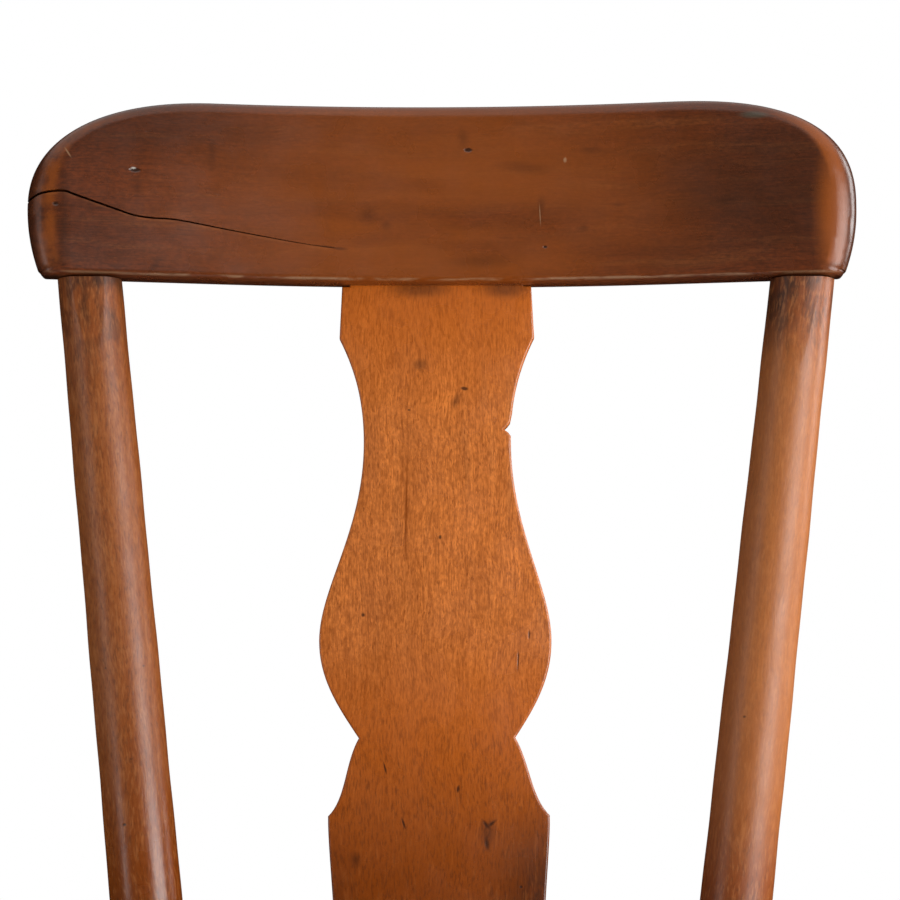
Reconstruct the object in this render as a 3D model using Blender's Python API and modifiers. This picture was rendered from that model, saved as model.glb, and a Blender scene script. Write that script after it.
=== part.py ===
"""A worn, varnished side chair: a plank seat on four splayed legs with four stretchers, and a back of two
round tapering posts, a vase-shaped splat and a bent crest rail with a split in its left end.

Metres, +Z up. The chair faces -Y, and its origin is on the floor under the middle of its bounding box.
"Left" and "right" are the viewer's, looking at the chair's front.
"""

import math

import bmesh
import bpy
from mathutils import Matrix, Vector
from mathutils.geometry import interpolate_bezier

# Clearance between any two faces that meet
FIT = 0.0003

# Seat plank
SEAT_HEIGHT = 0.430
SEAT_THICKNESS = 0.042
SEAT_FRONT_WIDTH = 0.410
SEAT_BACK_WIDTH = 0.356
SEAT_FRONT_Y = -0.199
SEAT_BACK_Y = 0.178
SEAT_FRONT_BOW = 0.008
SEAT_FRONT_CORNER = 0.060
SEAT_BACK_CORNER = 0.040
SEAT_EDGE_ROUND = 0.007
DISH_DEPTH = 0.008
DISH_SIDE_MARGIN = 0.055
DISH_FRONT_MARGIN = 0.045
DISH_BACK_MARGIN = 0.090
DISH_STEPS = 8
DISH_SEGMENTS = 40
DISH_FALLOFF = 1.5

# Back frame: it stands on the seat's top and leans back as one
BACK_LEAN = math.radians(5.0)
BACK_INSET = 0.028
BACK_HEIGHT = 0.3463

# Crest rail, bent so that its ends come forward
CREST_WIDTH = 0.430
CREST_FOOT_WIDTH = 0.416
CREST_HEIGHT = 0.0935
CREST_THICKNESS = 0.025
CREST_WIDEST_LEVEL = 0.0354
CREST_RIGHT_RISE = 0.001
CREST_CORNER_REACH = 0.099
CREST_LEFT_FULLNESS = 2.27
CREST_RIGHT_FULLNESS = 2.58
CREST_FOOT_ROUND = 0.0025
CREST_BEND_DEPTH = 0.036
CREST_BENT_REACH = 0.120
CREST_STATIONS = 20
CREST_FOOT_STEPS = 3
CREST_FLANK_STEPS = 5
CREST_TOP_STEPS = 14

# The crest's edges are rolled over: wide and deep at its ends, narrow along the top, slight below
END_ROLL_WIDTH = 0.020
END_ROLL_DEPTH = 0.015
TOP_ROLL_WIDTH = 0.007
TOP_ROLL_DEPTH = 0.006
LOWER_ROLL = 0.0025
BACK_ROLL = 0.0045
ROLL_FALLOFF = 8
FRONT_ROLL_STEPS = 5
BACK_ROLL_STEPS = 2

# The split in the crest's left end, seen from the front, from beyond the end to its tip
SPLIT_PATH = (
    (-0.2210, 0.0370),
    (-0.2147, 0.0406),
    (-0.2082, 0.0439),
    (-0.1968, 0.0447),
    (-0.1797, 0.0393),
    (-0.1599, 0.0332),
    (-0.1371, 0.0315),
    (-0.1101, 0.0268),
    (-0.0737, 0.0208),
    (-0.0528, 0.0189),
)
SPLIT_WIDTH = 0.0009
SPLIT_TIP_WIDTH = 0.00025
SPLIT_DEPTH = 0.019
SPLIT_TIP_DEPTH = 0.003

# Posts between the seat and the crest
POST_TOP_RADIUS = 0.0165
POST_FOOT_RADIUS = 0.0186
POST_SETBACK = 0.003
POST_LEFT_OVERHANG = 0.0318
POST_RIGHT_OVERHANG = 0.0277
POST_LEFT_MARGIN = 0.0290
POST_RIGHT_MARGIN = 0.0302
POST_TENON_RADIUS = 0.0080
POST_TENON_LENGTH = 0.036
POST_FOOT_TENON_RADIUS = 0.0120
POST_FLAT_DEPTH = 0.0023
POST_FLAT_LENGTH = 0.040

# Pegs driven from behind through the crest into the posts' tenons
PEG_RADIUS = 0.0030
PEG_LEVEL = 0.018
PEG_LENGTH = 0.017

# Splat, as half-widths at distances below the crest
SPLAT_THICKNESS = 0.011
SPLAT_SETBACK = 0.004
SPLAT_TOP_OFFSET = -0.0029
SPLAT_FOOT_OFFSET = -0.0013
SPLAT_TENON_SHOULDER = 0.004
SPLAT_TENON_LENGTH = 0.014
SPLAT_FOOT_LENGTH = 0.020
SPLAT_EDGE_ROUND = 0.0012
SPLAT_SHOULDER = (0.0512, 0.0277)
SPLAT_NECK = (0.0386, 0.0825)
SPLAT_BULB = (0.0607, 0.1869)
SPLAT_WAIST = (0.0408, 0.2375)
SPLAT_LOWER_SHOULDER = (0.0577, 0.2779)
SPLAT_TOP_HALF_WIDTH = 0.0498
SPLAT_FOOT_HALF_WIDTH = 0.0542
SPLAT_BULB_DRIFT = -0.0015
SPLAT_WAIST_DRIFT = -0.0008
CHIP_LEVEL = 0.0762
CHIP_HEIGHT = 0.0100
CHIP_DEPTH = 0.0036
CHIP_ABOVE, CHIP_BELOW = 0.60, 0.45
CHIP_OPENING = 0.001

# Handles of the splat's curves, each as (outward, downward) from its point
SPLAT_SHOULDER_HANDLE = (-0.0085, 0.0170)
SPLAT_NECK_HANDLE_ABOVE = (0, -0.0205)
SPLAT_NECK_HANDLE_BELOW = (0, 0.0465)
SPLAT_BULB_HANDLE_ABOVE = (0, -0.0280)
SPLAT_BULB_HANDLE_BELOW = (0, 0.0200)
SPLAT_WAIST_HANDLE_ABOVE = (0.0106, -0.0160)
SPLAT_WAIST_HANDLE_BELOW = (0.0075, 0.0130)
SPLAT_LOWER_HANDLE_ABOVE = (-0.0095, -0.0090)
SPLAT_LOWER_HANDLE_BELOW = (0.0002, 0.0130)
SPLAT_FOOT_CURVE = (0.0014, 0.0330)

# Legs, turned, from their tenons in the seat down to the floor
LEG_FOOT_RADIUS = 0.0115
LEG_BULGE_RADIUS = 0.0170
LEG_TENON_RADIUS = 0.0108
LEG_SIDE_INSET = 0.055
LEG_FRONT_INSET = 0.074
LEG_BACK_INSET = 0.098
FRONT_LEG_SPLAY = 0.040
FRONT_LEG_RAKE = 0.047
BACK_LEG_SPLAY = 0.043
BACK_LEG_RAKE = 0.115

# Wedges that spread the through tenons
WEDGE_HEAD = 0.0040
WEDGE_POINT = 0.0014
WEDGE_LENGTH = 0.024

# Stretchers, turned, from leg to leg
STRETCHER_END_RADIUS = 0.0072
STRETCHER_BULGE_RADIUS = 0.0108
STRETCHER_STOP = 0.0035
SIDE_STRETCHER_LEVEL = 0.150
FRONT_STRETCHER_LEVEL = 0.208
BACK_STRETCHER_LEVEL = 0.190

POST_SEGMENTS = 32
LEG_SEGMENTS = 24
STRETCHER_SEGMENTS = 16
TENON_SEGMENTS = 20
PEG_SEGMENTS = 12
PROFILE_STEPS = 12
TRIM_SIZE = 1.2

LEFT, RIGHT = -1, 1
FRONT, REAR = True, False

CREST_COLOUR = (0.150, 0.047, 0.014)
SPLAT_COLOUR = (0.430, 0.135, 0.028)
POST_COLOUR = (0.330, 0.110, 0.030)
SEAT_COLOUR = (0.230, 0.075, 0.020)
LEG_COLOUR = (0.200, 0.064, 0.018)
PEG_COLOUR = (0.120, 0.045, 0.018)
VARNISH_ROUGHNESS = 0.38
END_GRAIN_ROUGHNESS = 0.5


def clear_scene():
    """Removes every object that the file starts with."""
    for old in list(bpy.data.objects):
        bpy.data.objects.remove(old)


def new_collection(name):
    """A collection of that name in the scene."""
    collection = bpy.data.collections.new(name)
    bpy.context.scene.collection.children.link(collection)
    return collection


clear_scene()
CHAIR = new_collection("side_chair")
CUTTERS = new_collection("cutters")


def varnished_wood(name, colour, roughness=VARNISH_ROUGHNESS):
    """A varnished wood of one linear colour."""
    material = bpy.data.materials.new(name)
    material.use_nodes = True
    shader = material.node_tree.nodes["Principled BSDF"]
    shader.inputs["Base Color"].default_value = (*colour, 1.0)
    shader.inputs["Roughness"].default_value = roughness
    shader.inputs["Metallic"].default_value = 0.0
    return material


def add_object(name, data, parent=None, location=(0, 0, 0), rotation=None, cutter=False):
    """Links an object, as a piece of the chair or as a cutter."""
    obj = bpy.data.objects.new(name, data)
    (CUTTERS if cutter else CHAIR).objects.link(obj)
    obj.parent = parent
    obj.location = location
    if rotation is not None:
        obj.rotation_mode = "QUATERNION"
        obj.rotation_quaternion = rotation
    if cutter:
        obj.hide_render = True
        obj.display_type = "WIRE"
    return obj


def mesh_of(shape, name):
    """Turns a bmesh into a mesh with smooth faces and sharp corners."""
    mesh = bpy.data.meshes.new(name)
    shape.to_mesh(mesh)
    shape.free()
    mesh.shade_smooth()
    mesh.set_sharp_from_angle(angle=math.radians(35))
    return mesh


def boolean(obj, other, operation="DIFFERENCE"):
    """Cuts another solid out of a piece, or joins it on."""
    modifier = obj.modifiers.new(f"{operation.lower()} {other.name}", "BOOLEAN")
    modifier.operation = operation
    modifier.solver = "EXACT"
    modifier.object = other


def towards(start, end):
    """The rotation that turns +Z from one point towards another."""
    return (Vector(end) - Vector(start)).to_track_quat("Z", "Y")


def rod(name, radius, start, end, segments, parent=None, cutter=False):
    """A cylinder between two points of its parent's frame."""
    length = (Vector(end) - Vector(start)).length
    shape = bmesh.new()
    bmesh.ops.create_cone(
        shape,
        cap_ends=True,
        segments=segments,
        radius1=radius,
        radius2=radius,
        depth=length,
        matrix=Matrix.Translation((0, 0, length / 2)),
    )
    return add_object(name, mesh_of(shape, name), parent, start, towards(start, end), cutter)


def block(name, low, high, parent=None, cutter=True):
    """A box between two corners of its parent's frame."""
    size = [high[axis] - low[axis] for axis in range(3)]
    middle = [(high[axis] + low[axis]) / 2 for axis in range(3)]
    shape = bmesh.new()
    bmesh.ops.create_cube(shape, size=1)
    bmesh.ops.scale(shape, vec=size, verts=shape.verts)
    bmesh.ops.translate(shape, vec=middle, verts=shape.verts)
    return add_object(name, mesh_of(shape, name), parent, cutter=cutter)


def turned(name, profile, segments, parent=None, location=(0, 0, 0), rotation=None, cutter=False):
    """A solid turned round its own Z axis, from (radius, height) points listed from the top down."""
    mesh = bpy.data.meshes.new(name)
    points = [(radius, 0, height) for radius, height in profile]
    mesh.from_pydata(points, [(index, index + 1) for index in range(len(points) - 1)], [])
    obj = add_object(name, mesh, parent, location, rotation, cutter)
    screw = obj.modifiers.new("turning", "SCREW")
    screw.axis = "Z"
    screw.angle = math.tau
    screw.steps = segments
    screw.render_steps = segments
    screw.use_merge_vertices = True
    screw.merge_threshold = 0.00001
    screw.use_smooth_shade = True
    return obj


def board(name, outline, thickness, upright=True):
    """A flat board's bmesh from its outline: upright ones face -Y and have x and z points."""
    curve = bpy.data.curves.new(name, "CURVE")
    curve.dimensions = "2D"
    curve.fill_mode = "BOTH"
    curve.extrude = thickness / 2
    spline = curve.splines.new("POLY")
    spline.points.add(len(outline) - 1)
    spline.use_cyclic_u = True
    for point, (across, along) in zip(spline.points, outline):
        point.co = (across, along, 0, 1)
    drawing = bpy.data.objects.new(name, curve)
    CUTTERS.objects.link(drawing)
    graph = bpy.context.evaluated_depsgraph_get()
    flat = bpy.data.meshes.new_from_object(drawing.evaluated_get(graph))
    bpy.data.objects.remove(drawing)
    shape = bmesh.new()
    shape.from_mesh(flat)
    bpy.data.meshes.remove(flat)
    bmesh.ops.remove_doubles(shape, verts=shape.verts, dist=0.00001)
    shape.normal_update()
    cap_edges = [edge for edge in shape.edges if is_cap_edge(edge)]
    bmesh.ops.dissolve_edges(shape, edges=cap_edges, use_verts=False)
    if upright:
        bmesh.ops.rotate(shape, matrix=Matrix.Rotation(math.pi / 2, 3, "X"), verts=shape.verts)
    bmesh.ops.recalc_face_normals(shape, faces=shape.faces)
    return shape


def is_cap_edge(edge):
    """Whether an edge lies inside one of a flat board's two faces."""
    return len(edge.link_faces) == 2 and all(abs(face.normal.z) > 0.99 for face in edge.link_faces)


def bezier(start, start_handle, end_handle, end, steps=8):
    """Points along a Bezier curve, without its last."""
    corners = [Vector((*co, 0)) for co in (start, start_handle, end_handle, end)]
    points = interpolate_bezier(*corners, steps + 1)
    return [(point.x, point.y) for point in points[:-1]]


def arc(centre, radius, start, end, steps=6):
    """Points along a circular arc, with its angles in degrees."""
    angles = [math.radians(start + (end - start) * step / steps) for step in range(steps + 1)]
    return [(centre[0] + radius * math.cos(angle), centre[1] + radius * math.sin(angle)) for angle in angles]


# The back's own frame: its origin is on the seat's top, in the crest's and splat's middle plane
BACK = add_object("back_frame", None, location=(0, SEAT_BACK_Y - BACK_INSET, SEAT_HEIGHT))
BACK.rotation_euler = (-BACK_LEAN, 0, 0)


def in_back_frame(point):
    """A point of the back's frame, from its place in the chair's."""
    lean = Matrix.Translation(BACK.location) @ Matrix.Rotation(-BACK_LEAN, 4, "X")
    return lean.inverted() @ Vector(point)


def crest_bend(x):
    """How far the crest's middle plane stands behind the back's frame: bent in the middle, then straight."""
    half = CREST_WIDTH / 2
    bent = min(abs(x), CREST_BENT_REACH)
    straight = abs(x) - bent
    whole = CREST_BENT_REACH**2 + 2 * CREST_BENT_REACH * (half - CREST_BENT_REACH)
    return -CREST_BEND_DEPTH * (bent**2 + 2 * CREST_BENT_REACH * straight) / whole


def crest_bend_slope():
    """The slope of the crest's straight ends against its middle."""
    step = 0.001
    return (crest_bend(CREST_BENT_REACH + step) - crest_bend(CREST_BENT_REACH)) / step


def crest_end(height, fullness):
    """Half of the crest's outline, from its lower corner up and over to where its top runs straight."""
    half, foot = CREST_WIDTH / 2, CREST_FOOT_WIDTH / 2
    undercut = half - foot
    corner = arc((foot - CREST_FOOT_ROUND, CREST_FOOT_ROUND), CREST_FOOT_ROUND, 270, 360, CREST_FOOT_STEPS)
    levels = [CREST_WIDEST_LEVEL * step / CREST_FLANK_STEPS for step in range(1, CREST_FLANK_STEPS + 1)]
    flank = [(half - undercut * (1 - level / CREST_WIDEST_LEVEL) ** 2, level) for level in levels]
    top = []
    for step in range(1, CREST_TOP_STEPS + 1):
        angle = math.pi / 2 * step / CREST_TOP_STEPS
        out = CREST_CORNER_REACH * math.cos(angle) ** (2 / fullness)
        up = (height - CREST_WIDEST_LEVEL) * math.sin(angle) ** (2 / fullness)
        top.append((half - CREST_CORNER_REACH + out, CREST_WIDEST_LEVEL + up))
    return corner + flank + top


def roll_edge(shape, facing, shift, steps):
    """Rolls a board's edge over towards one of its faces, ring by ring in quarter ellipses."""
    face = max(shape.faces, key=lambda each: each.normal.y * facing)
    edge_points = [vert.co.copy() for vert in face.verts]
    shifts = [shift(point.x, point.z) for point in edge_points]
    for vert, point, (_, _, depth) in zip(face.verts, edge_points, shifts):
        vert.co.y = point.y - facing * depth
    for step in range(1, steps + 1):
        angle = math.pi / 2 * step / steps
        face = bmesh.ops.extrude_discrete_faces(shape, faces=[face])["faces"][0]
        for vert, point, (across, up, depth) in zip(face.verts, edge_points, shifts):
            inward = 1 - math.cos(angle)
            vert.co.x = point.x + across * inward
            vert.co.z = point.z + up * inward
            vert.co.y = point.y - facing * depth * (1 - math.sin(angle))


def end_share(x):
    """How much of the end's roll a point of the crest's outline has: none in the middle, all at the end."""
    reach = max(CREST_WIDTH, CREST_FOOT_WIDTH) / 2
    return (abs(x) / reach) ** ROLL_FALLOFF


def front_roll(x, z):
    """The crest's front roll at a point of its outline: inward in x and z, and its depth."""
    end = end_share(x)
    rise = z / CREST_HEIGHT
    across = -math.copysign(END_ROLL_WIDTH * end, x)
    up = LOWER_ROLL * (1 + end) * (1 - rise) - TOP_ROLL_WIDTH * rise
    edge_depth = LOWER_ROLL + (TOP_ROLL_DEPTH - LOWER_ROLL) * rise
    return across, up, edge_depth + (END_ROLL_DEPTH - edge_depth) * end


def back_roll(x, z):
    """The crest's back roll at a point of its outline, the same all round."""
    end = end_share(x)
    return -math.copysign(BACK_ROLL * end, x), BACK_ROLL * (1 - 2 * z / CREST_HEIGHT), BACK_ROLL


def make_crest():
    """The crest rail: a board rolled over at its edges, then bent."""
    left = crest_end(CREST_HEIGHT, CREST_LEFT_FULLNESS)
    right = crest_end(CREST_HEIGHT + CREST_RIGHT_RISE, CREST_RIGHT_FULLNESS)
    outline = [(-x, z) for x, z in left] + list(reversed(right))
    shape = board("crest_rail", outline, CREST_THICKNESS)
    roll_edge(shape, -1, front_roll, FRONT_ROLL_STEPS)
    roll_edge(shape, 1, back_roll, BACK_ROLL_STEPS)
    for station in range(1, CREST_STATIONS):
        x = CREST_WIDTH * (station / CREST_STATIONS - 0.5)
        everything = shape.verts[:] + shape.edges[:] + shape.faces[:]
        bmesh.ops.bisect_plane(shape, geom=everything, plane_co=(x, 0, 0), plane_no=(1, 0, 0))
    for vert in shape.verts:
        vert.co.y += crest_bend(vert.co.x)
    crest = add_object("crest_rail", mesh_of(shape, "crest_rail"), BACK, (0, 0, BACK_HEIGHT))
    crest.data.materials.append(varnished_wood("crest_varnish", CREST_COLOUR))
    boolean(crest, split_blade())
    return crest


def split_blade():
    """The solid that opens the split, wide and deep at the crest's end and fine at its tip."""
    start, tip = SPLIT_PATH[0][0], SPLIT_PATH[-1][0]

    def openness(x):
        return (tip - x) / (tip - start)

    def half_width(x):
        return (SPLIT_TIP_WIDTH + (SPLIT_WIDTH - SPLIT_TIP_WIDTH) * openness(x)) / 2

    upper = [(x, z + half_width(x)) for x, z in SPLIT_PATH]
    lower = [(x, z - half_width(x)) for x, z in SPLIT_PATH]
    shape = board("split_blade", upper + lower[::-1], CREST_THICKNESS)
    front = -CREST_THICKNESS / 2
    for vert in shape.verts:
        depth = SPLIT_TIP_DEPTH + (SPLIT_DEPTH - SPLIT_TIP_DEPTH) * openness(vert.co.x)
        vert.co.y = front + depth if vert.co.y > 0 else front - CREST_THICKNESS
        vert.co.y += crest_bend(vert.co.x)
    return add_object("split_blade", mesh_of(shape, "split_blade"), BACK, (0, 0, BACK_HEIGHT), cutter=True)


def handle(point, offset):
    """A curve's handle, from the point that it belongs to."""
    return (point[0] + offset[0], point[1] + offset[1])


def splat_side(side):
    """One edge of the splat, as (half-width, distance below the crest) points from top to bottom.

    It was sawn by hand, so its bulb and waist stand a little off its middle line.
    """
    bulb = (SPLAT_BULB[0] + side * SPLAT_BULB_DRIFT, SPLAT_BULB[1])
    waist = (SPLAT_WAIST[0] + side * SPLAT_WAIST_DRIFT, SPLAT_WAIST[1])
    shoulder, neck, lower = SPLAT_SHOULDER, SPLAT_NECK, SPLAT_LOWER_SHOULDER
    foot = (SPLAT_FOOT_HALF_WIDTH, BACK_HEIGHT - SPLAT_THICKNESS / 2)
    from_shoulder, to_neck = handle(shoulder, SPLAT_SHOULDER_HANDLE), handle(neck, SPLAT_NECK_HANDLE_ABOVE)
    from_neck, to_bulb = handle(neck, SPLAT_NECK_HANDLE_BELOW), handle(bulb, SPLAT_BULB_HANDLE_ABOVE)
    from_bulb, to_waist = handle(bulb, SPLAT_BULB_HANDLE_BELOW), handle(waist, SPLAT_WAIST_HANDLE_ABOVE)
    from_waist, to_lower = handle(waist, SPLAT_WAIST_HANDLE_BELOW), handle(lower, SPLAT_LOWER_HANDLE_ABOVE)
    from_lower = handle(lower, SPLAT_LOWER_HANDLE_BELOW)
    over_foot = handle((SPLAT_FOOT_HALF_WIDTH, lower[1]), SPLAT_FOOT_CURVE)
    points = [(SPLAT_TOP_HALF_WIDTH, 0)]
    points += bezier(shoulder, from_shoulder, to_neck, neck)
    points += bezier(neck, from_neck, to_bulb, bulb, 12)
    points += bezier(bulb, from_bulb, to_waist, waist)
    points += bezier(waist, from_waist, to_lower, lower)
    points += bezier(lower, from_lower, over_foot, foot, 6)
    points.append(foot)
    points.append((SPLAT_FOOT_HALF_WIDTH, BACK_HEIGHT + SPLAT_FOOT_LENGTH))
    return points


def make_splat(crest, seat):
    """The vase-shaped splat, with a chip out of its right edge, housed in the crest and the seat."""
    tongue = SPLAT_TOP_HALF_WIDTH - SPLAT_TENON_SHOULDER
    head = [(tongue, -SPLAT_TENON_LENGTH), (tongue, FIT), (SPLAT_TOP_HALF_WIDTH, FIT)]
    right = head + splat_side(RIGHT)[1:]
    left = head + splat_side(LEFT)[1:]
    outline = [(x, -down) for x, down in right] + [(-x, -down) for x, down in reversed(left)]
    shape = board("splat", outline, SPLAT_THICKNESS)
    weight = shape.edges.layers.float.new("bevel_weight_edge")
    for edge in shape.edges:
        edge[weight] = float(edge.verts[0].co.y * edge.verts[1].co.y > 0)
    top = (SPLAT_TOP_OFFSET, SPLAT_SETBACK, BACK_HEIGHT)
    turn = math.atan2(SPLAT_TOP_OFFSET - SPLAT_FOOT_OFFSET, BACK_HEIGHT)
    hang = Matrix.Rotation(turn, 4, "Y").to_quaternion()
    splat = add_object("splat", mesh_of(shape, "splat"), BACK, top, hang)
    splat.data.materials.append(varnished_wood("splat_varnish", SPLAT_COLOUR))
    bevel = splat.modifiers.new("worn arrises", "BEVEL")
    bevel.width = SPLAT_EDGE_ROUND
    bevel.segments = 2
    bevel.limit_method = "WEIGHT"
    boolean(splat, chip_cutter(splat))

    deep = SPLAT_THICKNESS / 2 + FIT
    mortise = block(
        "crest_mortise",
        (-tongue - FIT, -deep, -SPLAT_TENON_LENGTH),
        (tongue + FIT, deep, SPLAT_TENON_LENGTH + FIT),
        splat,
    )
    boolean(crest, mortise)
    wide = SPLAT_FOOT_HALF_WIDTH + 2 * FIT
    low = -(BACK_HEIGHT + SPLAT_FOOT_LENGTH + FIT)
    housing = block("seat_housing", (-wide, -deep, low), (wide, deep, low + 3 * SPLAT_FOOT_LENGTH), splat)
    boolean(seat, housing)
    return splat


def chip_cutter(splat):
    """The solid that leaves a three-sided chip out of the splat's right edge at its neck."""
    edge = SPLAT_NECK[0] + CHIP_OPENING
    tip = edge - CHIP_OPENING - CHIP_DEPTH
    low, high = -CHIP_LEVEL - CHIP_HEIGHT * CHIP_BELOW, -CHIP_LEVEL + CHIP_HEIGHT * CHIP_ABOVE
    outline = [(tip, -CHIP_LEVEL), (edge, low), (edge, high)]
    shape = board("chip", outline, 2 * SPLAT_THICKNESS)
    return add_object("chip", mesh_of(shape, "chip"), splat, cutter=True)


def seat_outline():
    """The plank's outline from above, with rounded corners and a bowed front."""
    front, back = SEAT_FRONT_WIDTH / 2, SEAT_BACK_WIDTH / 2
    edge = front - SEAT_FRONT_CORNER
    xs = [edge * step / 4 for step in range(-3, 4)]
    bow = [(x, SEAT_FRONT_Y - SEAT_FRONT_BOW * (1 - (x / edge) ** 2)) for x in xs]
    right = arc((edge, SEAT_FRONT_Y + SEAT_FRONT_CORNER), SEAT_FRONT_CORNER, -90, 0)
    right += arc((back - SEAT_BACK_CORNER, SEAT_BACK_Y - SEAT_BACK_CORNER), SEAT_BACK_CORNER, 0, 90)
    left = [(-x, y) for x, y in reversed(right)]
    return bow + right + left


def make_seat():
    """The plank seat, rounded at its edges and dished on top."""
    shape = board("seat", seat_outline(), SEAT_THICKNESS, upright=False)
    seat = add_object("seat", mesh_of(shape, "seat"), location=(0, 0, SEAT_HEIGHT - SEAT_THICKNESS / 2))
    seat.data.materials.append(varnished_wood("seat_varnish", SEAT_COLOUR))
    bevel = seat.modifiers.new("rounded edges", "BEVEL")
    bevel.width = SEAT_EDGE_ROUND
    bevel.segments = 3
    bevel.limit_method = "ANGLE"
    bevel.angle_limit = math.radians(60)
    boolean(seat, dish_cutter())
    return seat


def dish_cutter():
    """The shallow oval bowl that is cut from the seat's top."""
    front, back = SEAT_FRONT_Y + DISH_FRONT_MARGIN, SEAT_BACK_Y - DISH_BACK_MARGIN
    half_width = (SEAT_FRONT_WIDTH + SEAT_BACK_WIDTH) / 4 - DISH_SIDE_MARGIN
    rim = SEAT_THICKNESS / 2
    profile = [(0, rim), (half_width, rim)]
    for step in range(DISH_STEPS - 1, -1, -1):
        share = step / DISH_STEPS
        profile.append((half_width * share, -DISH_DEPTH * (1 - share**2) ** DISH_FALLOFF))
    middle = (0, (front + back) / 2, SEAT_HEIGHT)
    dish = turned("seat_dish", profile, DISH_SEGMENTS, location=middle, cutter=True)
    dish.scale = (1, (back - front) / 2 / half_width, 1)
    return dish


def post_ends(side):
    """The points of a post's axis on the seat and at the crest's lower edge, in the back's frame."""
    overhang = POST_LEFT_OVERHANG if side < 0 else POST_RIGHT_OVERHANG
    margin = POST_LEFT_MARGIN if side < 0 else POST_RIGHT_MARGIN
    top_x = side * (CREST_WIDTH / 2 - overhang)
    foot_x = side * (SEAT_BACK_WIDTH / 2 - margin)
    y = crest_bend(top_x) + POST_SETBACK
    return Vector((foot_x, y, 0)), Vector((top_x, y, BACK_HEIGHT))


def trim(shape, point, normal):
    """Cuts a closed shape flat at a plane and closes it again."""
    everything = shape.verts[:] + shape.edges[:] + shape.faces[:]
    cut = bmesh.ops.bisect_plane(shape, geom=everything, plane_co=point, plane_no=normal, clear_outer=True)
    rim = [item for item in cut["geom_cut"] if isinstance(item, bmesh.types.BMEdge)]
    bmesh.ops.edgeloop_fill(shape, edges=rim)


def make_post(side, word, crest, seat):
    """A tapering post, its shoulders cut to the seat and crest, with a tenon at each end."""
    foot, top = post_ends(side)
    axis = (top - foot).normalized()
    length = (top - foot).length
    turn = towards(foot, top)
    spare = 2 * POST_FOOT_RADIUS
    taper = (POST_FOOT_RADIUS - POST_TOP_RADIUS) / length
    shape = bmesh.new()
    bmesh.ops.create_cone(
        shape,
        cap_ends=True,
        segments=POST_SEGMENTS,
        radius1=POST_FOOT_RADIUS + taper * spare,
        radius2=POST_TOP_RADIUS - taper * spare,
        depth=length + 2 * spare,
        matrix=Matrix.Translation((0, 0, length / 2)),
    )
    into_post = turn.to_matrix().inverted()
    up = into_post @ Vector((0, 0, 1))
    seat_up = into_post @ Matrix.Rotation(BACK_LEAN, 3, "X") @ Vector((0, 0, 1))
    seat_point = into_post @ (in_back_frame((0, 0, SEAT_HEIGHT + FIT)) - foot)
    forward = into_post @ Vector((0, -1, 0))
    trim(shape, up * (length * axis.z - FIT), up)
    trim(shape, seat_point, -seat_up)
    flat_edge = Vector((0, 0, length)) + forward * (POST_TOP_RADIUS - POST_FLAT_DEPTH)
    trim(shape, flat_edge, forward + Vector((0, 0, POST_FLAT_DEPTH / POST_FLAT_LENGTH)))
    bmesh.ops.recalc_face_normals(shape, faces=shape.faces)
    post = add_object(f"post_{word}", mesh_of(shape, f"post_{word}"), BACK, foot, turn)
    post.data.materials.append(varnished_wood(f"post_{word}_varnish", POST_COLOUR))

    inside = axis * POST_FOOT_RADIUS
    start, tenon_top = top - inside, top + axis * POST_TENON_LENGTH
    tenon = rod(f"{word}_tenon", POST_TENON_RADIUS, start, tenon_top, TENON_SEGMENTS, BACK, cutter=True)
    boolean(post, tenon, "UNION")
    mortise = rod(
        f"{word}_mortise",
        POST_TENON_RADIUS + FIT,
        start,
        tenon_top + axis * FIT,
        TENON_SEGMENTS,
        BACK,
        cutter=True,
    )
    boolean(crest, mortise)

    through = foot - axis * 2 * SEAT_THICKNESS
    radius = POST_FOOT_TENON_RADIUS
    foot_tenon = rod(f"{word}_foot_tenon", radius, through, foot + inside, TENON_SEGMENTS, BACK, cutter=True)
    boolean(post, foot_tenon, "UNION")
    hole = rod(f"{word}_foot_hole", radius + FIT, through, foot + inside, TENON_SEGMENTS, BACK, cutter=True)
    boolean(seat, hole)
    boolean(post, UNDER_SEAT)

    down = into_post @ Matrix.Rotation(BACK_LEAN, 3, "X") @ Vector((0, 0, -1))
    reach = SEAT_THICKNESS / abs(down.z)
    head = foot - axis * reach
    make_wedge(f"post_wedge_{word}", post, BACK, head, foot, POST_FOOT_TENON_RADIUS, UNDER_SEAT)
    return post


def make_peg(side, word, crest, post):
    """A wooden peg through the crest's back into the post's tenon."""
    foot, top = post_ends(side)
    axis = (top - foot).normalized()
    centre = top + axis * PEG_LEVEL / axis.z
    slope = crest_bend_slope() * side
    outward = Vector((-slope, 1, 0)).normalized()
    back_face = crest_bend(centre.x) + CREST_THICKNESS / 2
    head = centre + outward * (back_face - centre.y) / outward.y
    head.y = crest_bend(head.x) + CREST_THICKNESS / 2
    point = head - outward * PEG_LENGTH
    peg = rod(f"crest_peg_{word}", PEG_RADIUS, point, head, PEG_SEGMENTS, BACK)
    peg.data.materials.append(varnished_wood(f"crest_peg_{word}_wood", PEG_COLOUR, END_GRAIN_ROUGHNESS))
    deep, open_end = point - outward * FIT, head + outward * PEG_LENGTH
    hole = rod(f"{word}_peg_hole", PEG_RADIUS + FIT, deep, open_end, PEG_SEGMENTS, BACK, cutter=True)
    boolean(crest, hole)
    boolean(post, hole)


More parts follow.
